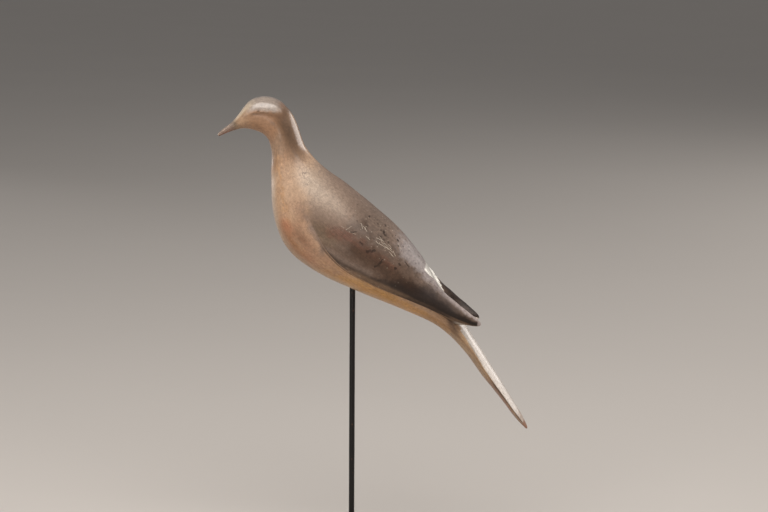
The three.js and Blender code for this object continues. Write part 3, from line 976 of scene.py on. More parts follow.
class Sheet:
    """A node tree, with a short method for each kind of node that the finishes use."""

    def __init__(self, tree: bpy.types.NodeTree) -> None:
        """Takes the tree to fill in."""
        self.tree = tree

    def node(self, kind: str, **settings: object) -> bpy.types.Node:
        """A new node of a kind, with its settings."""
        made = self.tree.nodes.new(kind)
        for name, value in settings.items():
            setattr(made, name, value)
        return made

    def put(self, socket: Socket, value: Entry) -> None:
        """Links a socket to another, or sets its value."""
        if isinstance(value, bpy.types.NodeSocket):
            self.tree.links.new(value, socket)
        else:
            socket.default_value = value

    def fill(self, made: bpy.types.Node, **values: Entry) -> bpy.types.Node:
        """A node with its inputs filled in by name, in lower case."""
        for name, value in values.items():
            self.put(made.inputs[name.replace("_", " ").capitalize()], value)
        return made

    def math(self, operation: str, *values: Entry, clamp: bool = False) -> Socket:
        """A sum, product or other step with numbers."""
        made = self.node("ShaderNodeMath", operation=operation, use_clamp=clamp)
        for socket, value in zip(made.inputs, values):
            self.put(socket, value)
        return made.outputs[0]

    def times(self, first: Entry, second: Entry) -> Socket:
        """The product of two numbers."""
        return self.math("MULTIPLY", first, second)

    def add_part(self, total: Entry, value: Entry, part: Entry, clamp: bool = False) -> Socket:
        """A total with a part of a value added."""
        return self.math("MULTIPLY_ADD", value, part, total, clamp=clamp)

    def vectors(self, operation: str, *values: Entry) -> Socket:
        """A step with vectors, which gives a number where the operation does."""
        made = self.node("ShaderNodeVectorMath", operation=operation)
        for socket, value in zip(made.inputs, values):
            self.put(socket, value)
        return made.outputs["Value" if operation in ("DOT_PRODUCT", "LENGTH", "DISTANCE") else "Vector"]

    def scaled(self, vector: Entry, factor: Entry) -> Socket:
        """A vector made longer or shorter."""
        made = self.node("ShaderNodeVectorMath", operation="SCALE")
        self.put(made.inputs[0], vector)
        return self.fill(made, scale=factor).outputs[0]

    def shaken(self, where: Socket, scale: Entry, push: Entry) -> Socket:
        """A place pushed about by noise."""
        shake = self.fill(self.node("ShaderNodeTexNoise"), vector=where, scale=scale)
        centred = self.vectors("SUBTRACT", shake.outputs["Color"], (0.5, 0.5, 0.5))
        return self.vectors("ADD", where, self.scaled(centred, push))

    def rise(self, value: Entry, low: Entry, high: Entry, start: float = 0.0, end: float = 1.0) -> Socket:
        """A smooth rise of a number from start to end, as the value goes from low to high."""
        made = self.node("ShaderNodeMapRange", interpolation_type="SMOOTHSTEP")
        for socket, entry in zip(made.inputs, (value, low, high, start, end)):
            self.put(socket, entry)
        return made.outputs[0]

    def mix(self, share: Entry, first: Entry, second: Entry, blend: str = "MIX") -> Socket:
        """A mix of two colours."""
        made = self.node("ShaderNodeMix", data_type="RGBA", blend_type=blend)
        for index, value in ((0, share), (6, first), (7, second)):
            self.put(made.inputs[index], value)
        return made.outputs[2]

    def toned(self, colour: Entry, part: Socket) -> Socket:
        """A colour made lighter or darker by a tone round 1."""
        return self.mix(1.0, colour, part, "MULTIPLY")

    def noise(self, where: Entry, scale: Entry, detail: float, rough: float) -> Socket:
        """Cloudy noise, from 0 to 1."""
        made = self.node("ShaderNodeTexNoise")
        return self.fill(made, vector=where, scale=scale, detail=detail, roughness=rough).outputs[0]

    def strength(self, name: str) -> Socket:
        """How strong a named paint or wear is, as laid on the points."""
        return self.node("ShaderNodeAttribute", attribute_name=name).outputs["Fac"]


class Effect:
    """A node group that the finishes share, built once and placed with each finish's own values.

    Its inputs are numbers or vectors with their usual values, by name in lower case.
    """

    title = ""
    inputs: dict[str, Entry] = {}
    outputs: tuple[str, ...] = ("Mask",)

    @classmethod
    def draw(cls, sheet: Sheet, given: dict[str, Socket]) -> tuple[Socket, ...]:
        """Fills in the group.

        Args:
            sheet: The group's tree.
            given: The group's inputs by name, in lower case.

        Returns:
            What it puts out, in the order of its outputs.
        """
        raise NotImplementedError

    @classmethod
    def group(cls) -> bpy.types.NodeTree:
        """The group's tree, which is made the first time it is asked for."""
        known = bpy.data.node_groups.get(cls.title)
        if known:
            return known
        tree = bpy.data.node_groups.new(cls.title, "ShaderNodeTree")
        for name, value in cls.inputs.items():
            kind = "NodeSocketFloat" if isinstance(value, float) else "NodeSocketVector"
            socket = tree.interface.new_socket(name.capitalize(), in_out="INPUT", socket_type=kind)
            socket.default_value = value
        for name in cls.outputs:
            tree.interface.new_socket(name, in_out="OUTPUT", socket_type="NodeSocketFloat")
        sheet = Sheet(tree)
        given = {s.name.lower(): s for s in sheet.node("NodeGroupInput").outputs if s.name}
        ends = sheet.node("NodeGroupOutput").inputs
        for name, value in zip(cls.outputs, cls.draw(sheet, given)):
            sheet.put(ends[name], value)
        return tree

    @classmethod
    def on(cls, sheet: Sheet, **values: Entry) -> bpy.types.Node:
        """Places the group on a sheet, with its inputs' values by name."""
        return sheet.fill(sheet.node("ShaderNodeGroup", node_tree=cls.group()), **values)

    @classmethod
    def mask(cls, sheet: Sheet, **values: Entry) -> Socket:
        """The mask that the group gives when it is placed on a sheet."""
        return cls.on(sheet, **values).outputs[0]

    @staticmethod
    def tones(sheet: Sheet, field_: Socket, depth: Socket) -> tuple[Socket, Socket]:
        """A field from 0 to 1 as a tone round 1, and the field itself."""
        swing = sheet.times(sheet.math("SUBTRACT", field_, 0.5), depth)
        return sheet.add_part(1.0, swing, 4.0), field_


class Clouding(Effect):
    """Slow uneven change of tone, as thin paint and old wax have."""

    title = "clouding"
    inputs = {"where": (0, 0, 0), "size": 0.01, "depth": 0.1}
    outputs = ("Tone", "Field")

    @classmethod
    def draw(cls, sheet: Sheet, given: dict[str, Socket]) -> tuple[Socket, ...]:
        """Noise of a given size."""
        field_ = sheet.noise(given["where"], sheet.math("DIVIDE", 1.0, given["size"]), 4.0, 0.6)
        return cls.tones(sheet, field_, given["depth"])


class Streaks(Effect):
    """Fine streaks along the X of a vector, as brush marks, grain or drawn metal have."""

    title = "streaks"
    inputs = {"where": (0, 0, 0), "length": 0.02, "width": 0.001, "depth": 0.1}
    outputs = ("Tone", "Field")

    @classmethod
    def draw(cls, sheet: Sheet, given: dict[str, Socket]) -> tuple[Socket, ...]:
        """Noise drawn out along X."""
        size = sheet.node("ShaderNodeCombineXYZ")
        for socket, name in zip(size.inputs, ("length", "width", "width")):
            sheet.put(socket, given[name])
        field_ = sheet.noise(sheet.vectors("DIVIDE", given["where"], size.outputs[0]), 1.0, 3.0, 0.6)
        return cls.tones(sheet, field_, given["depth"])


class Ragged(Effect):
    """A mask whose border is broken up, as where one paint is dragged thinly over another."""

    title = "ragged border"
    inputs = {"mask": 0.0, "where": (0, 0, 0), "size": 0.004, "reach": 0.6, "softness": 0.3}

    @classmethod
    def draw(cls, sheet: Sheet, given: dict[str, Socket]) -> tuple[Socket, ...]:
        """Adds noise to the mask where it is neither 0 nor 1, and rises through its middle."""
        field_ = sheet.noise(given["where"], sheet.math("DIVIDE", 1.0, given["size"]), 5.0, 0.65)
        swing = sheet.times(sheet.math("SUBTRACT", field_, 0.5), given["reach"])
        free = sheet.times(given["mask"], sheet.math("SUBTRACT", 1.0, given["mask"]))
        swing = sheet.times(sheet.times(swing, free), 8.0)
        half = sheet.times(given["softness"], 0.5)
        low, high = sheet.math("SUBTRACT", 0.5, half), sheet.math("ADD", 0.5, half)
        return (sheet.rise(sheet.math("ADD", given["mask"], swing), low, high),)


class Flecks(Effect):
    """Scattered small dots, as specks of dirt, dust or rust."""

    title = "flecks"
    inputs = {"where": (0, 0, 0), "spacing": 0.003, "size": 0.0005, "share": 0.3}

    @classmethod
    def draw(cls, sheet: Sheet, given: dict[str, Socket]) -> tuple[Socket, ...]:
        """Dots round random points, of which a share is kept, each as large as chance has it."""
        scale = sheet.math("DIVIDE", 1.0, given["spacing"])
        cells = sheet.node("ShaderNodeTexVoronoi", feature="F1")
        sheet.fill(cells, vector=given["where"], scale=scale)
        chance = sheet.fill(sheet.node("ShaderNodeSeparateColor"), color=cells.outputs["Color"])
        reach = sheet.math("DIVIDE", given["size"], given["spacing"])
        reach = sheet.times(reach, sheet.rise(chance.outputs[1], 0.0, 1.0, 0.5, 1.3))
        dot = sheet.rise(cells.outputs["Distance"], reach, sheet.times(reach, 0.4))
        return (sheet.times(dot, sheet.math("LESS_THAN", chance.outputs[0], given["share"])),)


class Crackle(Effect):
    """A net of hairline cracks in old paint."""

    title = "crackle"
    inputs = {"where": (0, 0, 0), "size": 0.004, "width": 0.05}

    @classmethod
    def draw(cls, sheet: Sheet, given: dict[str, Socket]) -> tuple[Socket, ...]:
        """The borders between warped cells, where the width is a share of the cells' size."""
        scale = sheet.math("DIVIDE", 1.0, given["size"])
        where = sheet.shaken(given["where"], sheet.times(scale, 1.3), sheet.times(given["size"], 1.2))
        cells = sheet.node("ShaderNodeTexVoronoi", feature="DISTANCE_TO_EDGE")
        sheet.fill(cells, vector=where, scale=scale)
        return (sheet.rise(cells.outputs["Distance"], given["width"], 0.0),)


class Mark(Effect):
    """One short straight mark, such as a scratch or a spot of paint."""

    title = "mark"
    inputs = {"where": (0, 0, 0), "start": (0, 0, 0), "end": (0, 0, 0), "radius": 0.0004, "waver": 0.0005}

    @classmethod
    def draw(cls, sheet: Sheet, given: dict[str, Socket]) -> tuple[Socket, ...]:
        """How near the place, which wavers a little, is to the line from start to end."""
        where = sheet.shaken(given["where"], 520.0, sheet.times(given["waver"], 4.0))
        span = sheet.vectors("SUBTRACT", given["end"], given["start"])
        away = sheet.vectors("SUBTRACT", where, given["start"])
        length = sheet.math("ADD", sheet.vectors("DOT_PRODUCT", span, span), 1e-12)
        share = sheet.math("DIVIDE", sheet.vectors("DOT_PRODUCT", away, span), length, clamp=True)
        distance = sheet.vectors("DISTANCE", away, sheet.scaled(span, share))
        return (sheet.rise(distance, given["radius"], sheet.times(given["radius"], 0.3)),)


def tone(paint: Rgb) -> tuple[float, float, float, float]:
    """A colour given as it would look on a screen, from 0 to 255, as light."""
    values = np.array(paint) / 255
    light = np.where(values <= 0.04045, values / 12.92, ((values + 0.055) / 1.055) ** 2.4)
    return (*(float(v) for v in light), 1.0)


class Finish:
    """A material being made: its sheet, its shader, and the shared effects laid on it by place."""

    def __init__(self, name: str) -> None:
        """Starts a material."""
        self.material = bpy.data.materials.new(name)
        self.material.use_nodes = True
        self.sheet = Sheet(self.material.node_tree)
        self.shader = self.material.node_tree.nodes["Principled BSDF"]

    @cached_property
    def where(self) -> Socket:
        """The place on the object, in metres."""
        return self.sheet.node("ShaderNodeTexCoord").outputs["Object"]

    @cached_property
    def straight(self) -> Socket:
        """The place along the piece, across it and up it, as laid on the points."""
        return self.sheet.node("ShaderNodeAttribute", attribute_name="straight").outputs["Vector"]

    def clouds(self, size: float, depth: float) -> bpy.types.Node:
        """Slow uneven change of tone."""
        return Clouding.on(self.sheet, where=self.where, size=size, depth=depth)

    def streaks(self, length: float, width: float, depth: float) -> bpy.types.Node:
        """Fine streaks along the piece."""
        return Streaks.on(self.sheet, where=self.straight, length=length, width=width, depth=depth)

    def flecks(self, spacing: float, size: float, share: float) -> Socket:
        """Scattered dots, as a mask."""
        return Flecks.mask(self.sheet, where=self.where, spacing=spacing, size=size, share=share)

    def frayed(self, name: str, size: float, reach: float, softness: float) -> Socket:
        """A named mask with its border broken up."""
        mask = self.sheet.strength(name)
        return Ragged.mask(self.sheet, mask=mask, where=self.where, size=size, reach=reach, softness=softness)

    def feed(self, **values: Entry) -> None:
        """Gives the shader's inputs their values, by name in lower case."""
        known = {socket.name.lower().replace(" ", "_"): socket for socket in self.shader.inputs}
        for name, value in values.items():
            self.sheet.put(known[name], value)

    def relief(self, height: Socket, strength: float, distance: float) -> None:
        """Raises the surface by a height from 0 to 1."""
        made = self.sheet.node("ShaderNodeBump")
        self.sheet.fill(made, strength=strength, distance=distance, height=height)
        self.feed(normal=made.outputs[0])


class Cover(Enum):
    """How a paint covers what is under it. The slow clouds break up a thin one."""

    THIN = "thin"
    FULL = "full"


@dataclass(frozen=True)
class Coat:
    """One paint over those before it.

    mask: the named place where it lies.
    paint: its colour.
    most: how strongly it covers at most.
    cover: how it covers.
    border: the size, reach and softness of its broken border, if it has one.
    streaks: the brush streaks it shows in, if it does, as a rise's low, high, start and end.
    """

    mask: str
    paint: Rgb
    most: float = 1.0
    cover: Cover = Cover.THIN
    border: tuple[float, ...] = ()
    streaks: tuple[float, ...] = ()


def bordered(
    mask: str, paint: Rgb, *border: float, most: float = 1.0, streaks: tuple[float, ...] = ()
) -> Coat:
    """A full coat with a broken border."""
    return Coat(mask, paint, most, Cover.FULL, border, streaks)


def streaked(mask: str, paint: Rgb, *streaks: float, most: float = 1.0) -> Coat:
    """A full coat that shows in the brush streaks alone."""
    return Coat(mask, paint, most, Cover.FULL, (), streaks)


class Painter:
    """Lays coats of paint one over the other."""

    def __init__(self, finish: Finish) -> None:
        """Makes ready the clouds and brush streaks that break up the paint."""
        self.finish = finish
        self.slow = finish.clouds(size=0.014, depth=0.1).outputs["Field"]
        self.brush = finish.streaks(length=0.03, width=0.0022, depth=0.1).outputs["Field"]

    def share(self, coat: Coat) -> Socket:
        """How strongly a coat covers each place."""
        sheet = self.finish.sheet
        share = self.finish.frayed(coat.mask, *coat.border) if coat.border else sheet.strength(coat.mask)
        if coat.streaks:
            share = sheet.times(share, sheet.rise(self.brush, *coat.streaks))
        if coat.cover is Cover.THIN:
            return sheet.times(share, sheet.rise(self.slow, 0.3, 0.6, 0.75 * coat.most, coat.most))
        return share if coat.most == 1 else sheet.times(share, coat.most)

    def lay(self, colour: Entry, coats: Sequence[Coat]) -> Entry:
        """A colour with coats laid over it in their order."""
        for coat in coats:
            colour = self.finish.sheet.mix(self.share(coat), colour, tone(coat.paint))
        return colour


@dataclass(frozen=True)
class PaintedWood:
    """Old oil paint on carved wood, thin, rubbed and a little waxy.

    body, wing and over: the coats of the body, of the wings, and of all that lies over both.
    face_border: where along the bird, in metres, the breast's ground gives way to the face's.
    side_from: how far out, in millimetres, a mark lies on the bird's side.
    side_squeeze: how far such a mark's distance counts across the bird, where the side curves away.
    scratches, spots: marks on the paint, as start, end and radius, in millimetres.
    scratch_size, spot_size: how wide they are drawn and how much they waver, as shares of the radius.
    """

    buff: Rgb = (176, 145, 118)
    face: Rgb = (147, 113, 87)
    orange: Rgb = (178, 137, 98)
    low_breast: Rgb = (147, 101, 66)
    under_root: Rgb = (148, 115, 84)
    taupe: Rgb = (122, 102, 89)
    dark: Rgb = (31, 19, 12)
    cream: Rgb = (204, 194, 185)
    wood: Rgb = (138, 100, 79)
    # dark brown of dirt, also laid as painted shade
    grime_and_shade: Rgb = (58, 45, 36)
    # pale of scuffed paint, also laid as painted highlights by the rub mask
    scuff_and_highlight: Rgb = (206, 194, 176)
    body: tuple[Coat, ...] = (
        bordered("throat", (143, 116, 94), 0.008, 0.5, 1.0),
        streaked("streak", orange, 0.42, 0.62, 0.0, 1.0, most=0.65),
        bordered("low_breast", low_breast, 0.009, 0.7, 1.0),
        # painted sheen along the breast's front edge
        Coat("breast_rub", (197, 177, 159), 0.8),
        Coat("flank", (150, 116, 92), 0.85),
        Coat("front_shade", (142, 110, 87), 0.85),
        Coat("stain", (124, 87, 63), 0.8),
        bordered("belly", (180, 137, 86), 0.012, 0.9, 1.0),
        streaked("belly", orange, 0.5, 0.66, 0.0, 1.0),
        streaked("belly", low_breast, 0.45, 0.3, 0.0, 0.6),
        # painted sheen along the belly's lower rim
        Coat("low_edge", (172, 149, 126), 0.7),
        Coat("under_root", under_root, 0.75),
        Coat("red", (168, 112, 82), 0.75, Cover.FULL),
    )
    wing: tuple[Coat, ...] = (
        bordered("wing_side", (99, 82, 71), 0.012, 0.9, 1.0),
        Coat("front", (97, 78, 60), cover=Cover.FULL),
        Coat("grey_mid", (90, 77, 68), 0.65),
        bordered("low_wing", (92, 73, 61), 0.009, 0.8, 1.0),
        bordered("smear", (98, 66, 53), 0.009, 1.5, 1.0, streaks=(0.35, 0.62, 0.3, 0.8)),
        # painted highlight along the wing's lower part, above its edge
        bordered("low_band", (107, 90, 79), 0.005, 0.6, 1.0),
        bordered("shade", (66, 47, 34), 0.007, 1.2, 1.0, most=0.85),
        # dark wing paint, also painted shade on the wings' inner sides and the far wing's rim
        bordered("dark", dark, 0.006, 0.6, 1.05),
        Coat("warm_dark", (50, 28, 14), 0.35),
        Coat("tip_grey", (76, 69, 68), 0.4),
        Coat("worn_edge", (114, 90, 70), 0.85),
        # lilac-grey paint along the ridge, partly a painted sheen
        bordered("ridge", (140, 130, 127), 0.004, 0.8, 1.0),
        # painted sheen on the near wing tip, with a painted highlight at its end
        bordered("tip", (156, 143, 139), 0.004, 0.8, 1.0),
    )
    over: tuple[Coat, ...] = (
        # pale paint on the mantle, partly a painted highlight
        Coat("mantle", (178, 160, 142), 0.85),
        # a thin dark line along the wing's lower edge
        Coat("edge_line", grime_and_shade, 0.8),
        # dark paint on the neck's side, partly painted shade
        Coat("nape", (96, 71, 51), 0.95),
        Coat("nape_deep", (56, 40, 27), 0.6),
        Coat("cheek", (132, 97, 68), 0.6),
        Coat("brow", (102, 74, 53), 0.75),
        bordered("crown", (150, 136, 125), 0.004, 0.6, 0.8),
        Coat("crown_rear", (98, 82, 74), 0.65),
        Coat("lore", (158, 130, 104), 0.8),
        bordered("bill", (116, 94, 81), 0.004, 0.8, 1.0),
        Coat("bill_root", (94, 83, 67), 0.7),
        # painted highlight along the bill's top
        Coat("bill_top", (158, 143, 131), 0.6),
        Coat("bill_low", (126, 86, 70), 0.8),
        # pale paint on the forehead's top, partly a painted highlight
        Coat("forehead", (190, 174, 152), 0.8),
        # pale paint on the rump, partly a painted highlight of the light behind
        bordered("rump", (228, 223, 213), 0.003, 0.45, 0.6),
        Coat("rump_root", (158, 150, 144), 0.3),
        Coat("rump_end", cream),
        bordered("pale", cream, 0.003, 0.2, 0.5),
        Coat("tail_grey", (148, 138, 128), 0.9),
        bordered("tail_under", (152, 124, 97), 0.005, 0.5, 0.4),
        streaked("tail_under", (178, 146, 110), 0.45, 0.62, 0.0, 0.6),
        streaked("tail_under", under_root, 0.46, 0.34, 0.0, 0.5),
        Coat("tail_red", (130, 88, 70), 0.8),
        # painted shadow under the wing tips at the tail's root
        Coat("tail_root", (62, 42, 30)),
        Coat("tail_end", (148, 122, 102), 0.6),
        # thin dark lines along the tail's side edge
        Coat("tail_line", grime_and_shade, 0.95),
    )
    face_border: tuple[float, float] = (0.105, 0.075)
    roughness: float = 0.6
    polish: float = 0.22
    specular: float = 0.22
    wax: float = 0.95
    wax_roughness: float = 0.2
    wax_ior: float = 1.62
    relief: float = 0.35
    relief_height: float = 0.0006
    side_from: float = 25.0
    side_squeeze: float = 0.4
    scratch_size: tuple[float, float] = (0.78, 0.2)
    spot_size: tuple[float, float] = (1.0, 0.45)
    scratches: Table = (
        (7.9, -27.9, 309.8, 8.8, -29.7, 305.4, 0.28),
        (10.9, -28.5, 306.5, 12.6, -29.5, 303.2, 0.28),
        (9.6, -28.3, 307.8, 11.3, -29.4, 304.5, 0.22),
        (-5.2, -32.9, 305.1, -0.6, -31.1, 308.0, 0.22),
        (-9.4, -32.5, 308.3, -6.9, -32.7, 306.6, 0.16),
        (20.7, -29.3, 297.8, 26.7, -28.5, 294.8, 0.3),
        (23.2, -27.9, 298.7, 25.4, -28.6, 295.8, 0.22),
        (22.9, -30.6, 293.1, 28.8, -29.9, 289.6, 0.28),
        (27.1, -29.0, 293.3, 33.5, -28.9, 287.8, 0.27),
        (24.6, -29.3, 294.7, 31.0, -29.8, 287.9, 0.28),
        (28.8, -29.6, 290.4, 34.8, -29.3, 285.3, 0.3),
        (30.5, -28.3, 292.0, 34.0, -28.3, 289.0, 0.2),
        (31.9, -30.3, 285.8, 35.3, -30.4, 281.6, 0.28),
        (34.8, -28.9, 286.5, 37.0, -29.6, 282.3, 0.3),
        (20.3, -30.5, 295.3, 22.4, -30.9, 292.8, 0.28),
        (-2.6, -32.9, 303.7, 3.3, -32.7, 301.1, 0.16),
        (11.8, -31.4, 299.7, 15.2, -31.7, 296.3, 0.22),
        (39.1, -22.9, 292.4, 41.7, -24.8, 287.6, 0.22),
        (18.0, 29.0, 300.0, 27.0, 29.5, 291.0, 0.27),
        (22.0, 29.0, 298.5, 33.0, 29.0, 287.5, 0.3),
        (-12.0, 31.0, 318.0, -8.0, 31.5, 312.0, 0.27),
    )
    spots: Table = (
        (13.2, -34.1, 286.8, 18.7, -33.2, 287.5, 2.0),
        (19.6, -33.7, 273.8, 22.2, -33.6, 274.7, 1.5),
        (22.2, -33.6, 274.7, 25.5, -33.0, 278.9, 1.5),
        (14.2, -21.2, 314.4, 15.0, -20.2, 314.7, 1.2),
        (27.9, -17.7, 307.1, 28.3, -18.2, 306.3, 1.2),
        (26.6, -23.9, 302.0, 28.4, -25.4, 298.8, 1.7),
        (38.6, -21.3, 294.7, 39.5, -21.4, 293.9, 1.4),
        (36.6, -31.4, 272.2, 37.5, -31.2, 271.8, 1.4),
        (-0.9, -32.9, 303.0, 3.3, -32.1, 303.2, 0.8),
        (40.0, -30.2, 275.5, 40.9, -30.0, 274.6, 1.2),
        (6.8, -33.7, 294.9, 9.3, -33.8, 292.3, 1.0),
        (45.2, -27.8, 276.8, 48.6, -27.4, 272.5, 0.7),
        (-80.8, -11.6, 403.3, -80.4, -11.6, 403.3, 1.12),
        (-80.8, 11.6, 403.3, -80.4, 11.6, 403.3, 1.12),
        (14.0, 22.0, 313.0, 15.0, 22.0, 312.0, 1.5),
        (30.0, 31.0, 280.0, 33.0, 31.0, 278.5, 1.6),
    )

    def paint(self, finish: Finish) -> Socket:
        """The paints of the whole bird, before wear."""
        sheet, painter = finish.sheet, Painter(finish)
        buff, face = tone(self.buff), tone(self.face)
        ground = sheet.mix(sheet.rise(painter.slow, 0.42, 0.75, 0.0, 0.6), buff, face)
        split = sheet.fill(sheet.node("ShaderNodeSeparateXYZ"), vector=finish.straight)
        ground = sheet.mix(sheet.rise(split.outputs[0], *self.face_border), ground, face)
        body = painter.lay(ground, self.body)
        wing = painter.lay(tone(self.taupe), self.wing)
        back = finish.frayed("back", 0.007, 0.8, 1.0)
        return painter.lay(sheet.mix(back, body, wing), self.over)

    def marked(self, finish: Finish, marks: Table, size: float, shake: float) -> Socket:
        """Marks as a mask, drawn so wide and so unsteadily."""
        squeeze = np.array([1.0, self.side_squeeze, 1.0])
        total, flat = 0.0, finish.sheet.vectors("MULTIPLY", finish.where, tuple(squeeze))
        for *corners, radius in marks:
            ends, place = np.array(corners).reshape(2, 3) * MM, finish.where
            if abs(corners[1]) > self.side_from:
                ends, place = ends * squeeze, flat
            start, end = ends.tolist()
            line = {"start": start, "end": end, "radius": radius * MM * size, "waver": radius * MM * shake}
            total = finish.sheet.math("MAXIMUM", total, Mark.mask(finish.sheet, where=place, **line))
        return total

    def make(self) -> bpy.types.Material:
        """The material: its paints, their wear, their shine and their relief."""
        finish = Finish("painted_wood")
        sheet, colour = finish.sheet, self.paint(finish)
        grime_and_shade, scuff_and_highlight = tone(self.grime_and_shade), tone(self.scuff_and_highlight)

        broad, fine = finish.clouds(size=0.014, depth=0.13), finish.clouds(size=0.0022, depth=0.2)
        brush = finish.streaks(length=0.024, width=0.0013, depth=0.11)
        grain = finish.streaks(length=0.012, width=0.00045, depth=0.1)
        for part in (broad, fine, brush, grain):
            colour = sheet.toned(colour, part.outputs["Tone"])
        clouds, specked = broad.outputs["Field"], fine.outputs["Field"]

        speckle = sheet.strength("speckle")
        mottled = sheet.toned(colour, finish.clouds(size=0.0036, depth=0.28).outputs["Tone"])
        colour = sheet.mix(sheet.add_part(0.2, speckle, 0.8, clamp=True), colour, mottled)
        specks = finish.flecks(spacing=0.003, size=0.0011, share=0.45)
        glints = finish.flecks(spacing=0.0023, size=0.0006, share=0.4)
        cracks = Crackle.mask(sheet, where=finish.where, size=0.0036, width=0.09)
        cracked = sheet.times(sheet.rise(clouds, 0.36, 0.6, 0.1, 0.55), sheet.strength("netted"))
        cracked = sheet.times(cracks, cracked)
        # rubbed paint, with painted highlights on the near ridge and at the near tip's end
        rub = finish.frayed("rub", 0.003, 1.1, 0.5)
        crevice = sheet.strength("crevice")
        scratches = sheet.rise(specked, 0.25, 0.45, 0.5, 1.0)
        scratches = sheet.times(self.marked(finish, self.scratches, *self.scratch_size), scratches)
        spots = sheet.rise(specked, 0.32, 0.5, 0.4, 1.0)
        spots = sheet.times(self.marked(finish, self.spots, *self.spot_size), spots)
        for share, most, paint in (
            (specks, sheet.add_part(0.08, speckle, 0.7), grime_and_shade),
            (glints, sheet.times(speckle, 0.45), scuff_and_highlight),
            (cracked, 1.0, grime_and_shade),
            (rub, 0.45, scuff_and_highlight),
            (finish.frayed("bare", 0.002, 0.6, 0.4), 1.0, tone(self.wood)),
            # painted shade and dirt in the hollows
            (crevice, 0.85, grime_and_shade),
            (sheet.times(sheet.strength("eye_line"), sheet.rise(specked, 0.4, 0.56)), 0.55, grime_and_shade),
            (scratches, 0.75, scuff_and_highlight),
            (spots, 0.8, tone(self.dark)),
        ):
            colour = sheet.mix(sheet.times(share, most), colour, paint)

        gloss = sheet.strength("gloss")
        rough = sheet.add_part(self.roughness - 0.1, clouds, 0.2)
        for value, part in ((gloss, -self.polish), (crevice, 0.25), (rub, -0.08)):
            rough = sheet.add_part(rough, value, part)
        finish.feed(base_color=colour, roughness=rough, specular_ior_level=self.specular)
        wax = sheet.times(gloss, self.wax)
        finish.feed(coat_weight=wax, coat_roughness=self.wax_roughness, coat_ior=self.wax_ior)

        height = sheet.times(brush.outputs["Field"], 0.5)
        grained = grain.outputs["Field"]
        for value, part in ((grained, 0.25), (specked, 0.3), (cracked, -0.6), (scratches, -0.35)):
            height = sheet.add_part(height, value, part)
        finish.relief(height, self.relief, self.relief_height)
        return finish.material


@dataclass(frozen=True)
class BlackenedSteel:
    """Steel blackened by heat and oil, with a satin face, dust and rubbed edges."""

    name: str
    base: Rgb = (13, 10, 9)
    rubbed: Rgb = (92, 84, 77)
    dust: Rgb = (122, 113, 104)
    rust: Rgb = (84, 56, 40)
    roughness: float = 0.42
    sheen: float = 0.28
    rusting: float = 0.5
    wear: float = 0.8
    dusting: float = 0.1
    relief: float = 0.3
    relief_height: float = 0.0003
    lines: tuple[float, float] = (0.04, 0.0004)

    def make(self) -> bpy.types.Material:
        """The material: its blackened face, rust, rubbed edges, dust and drawn lines."""
        finish = Finish(self.name)
        sheet = finish.sheet
        broad, fine = finish.clouds(size=0.012, depth=0.16), finish.clouds(size=0.0012, depth=0.1)
        drawn = finish.streaks(*self.lines, depth=0.12)
        clouds, upward = broad.outputs["Field"], sheet.strength("upward")
        colour = sheet.toned(sheet.toned(tone(self.base), broad.outputs["Tone"]), drawn.outputs["Tone"])
        spots = sheet.times(finish.flecks(spacing=0.006, size=0.0011, share=0.25), self.rusting)
        worn = sheet.times(finish.frayed("rub", 0.004, 0.8, 0.6), self.wear)
        motes = finish.flecks(spacing=0.0024, size=0.0005, share=0.35)
        settled = sheet.times(upward, sheet.rise(clouds, 0.35, 0.7))
        dusty = sheet.times(sheet.math("MAXIMUM", settled, motes), upward)
        dust = sheet.times(dusty, self.dusting)
        for share, paint in ((spots, self.rust), (worn, self.rubbed), (dust, self.dust)):
            colour = sheet.mix(share, colour, tone(paint))
        rough = sheet.add_part(self.roughness - 0.09, clouds, 0.18)
        rough = sheet.add_part(rough, dusty, 0.3)
        finish.feed(base_color=colour, roughness=rough, metallic=worn, specular_ior_level=self.sheen)
        height = sheet.add_part(sheet.times(drawn.outputs["Field"], 0.6), fine.outputs["Field"], 0.4)
        finish.relief(height, self.relief, self.relief_height)
        return finish.material


def show(mesh: bpy.types.Mesh, name: str, node: str) -> bpy.types.Object:
    """Puts a finished mesh in the scene in place of its plain solid.

    Args:
        mesh: The mesh.
        name: The piece's name.
        node: The solid it stands for.

    Returns:
        The piece.
    """
    piece = bpy.data.objects.new(name, mesh)
    bpy.context.collection.objects.link(piece)
    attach(piece, "root")
    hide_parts(node)
    return piece


def lay_on(mesh: bpy.types.Mesh, name: str, values: Array) -> None:
    """Lays a number or vector on each point of a mesh under a name."""
    vector = values.ndim == 2
    layer = mesh.attributes.new(name, "FLOAT_VECTOR" if vector else "FLOAT", "POINT")
    layer.data.foreach_set("vector" if vector else "value", np.ascontiguousarray(values, np.float32).ravel())


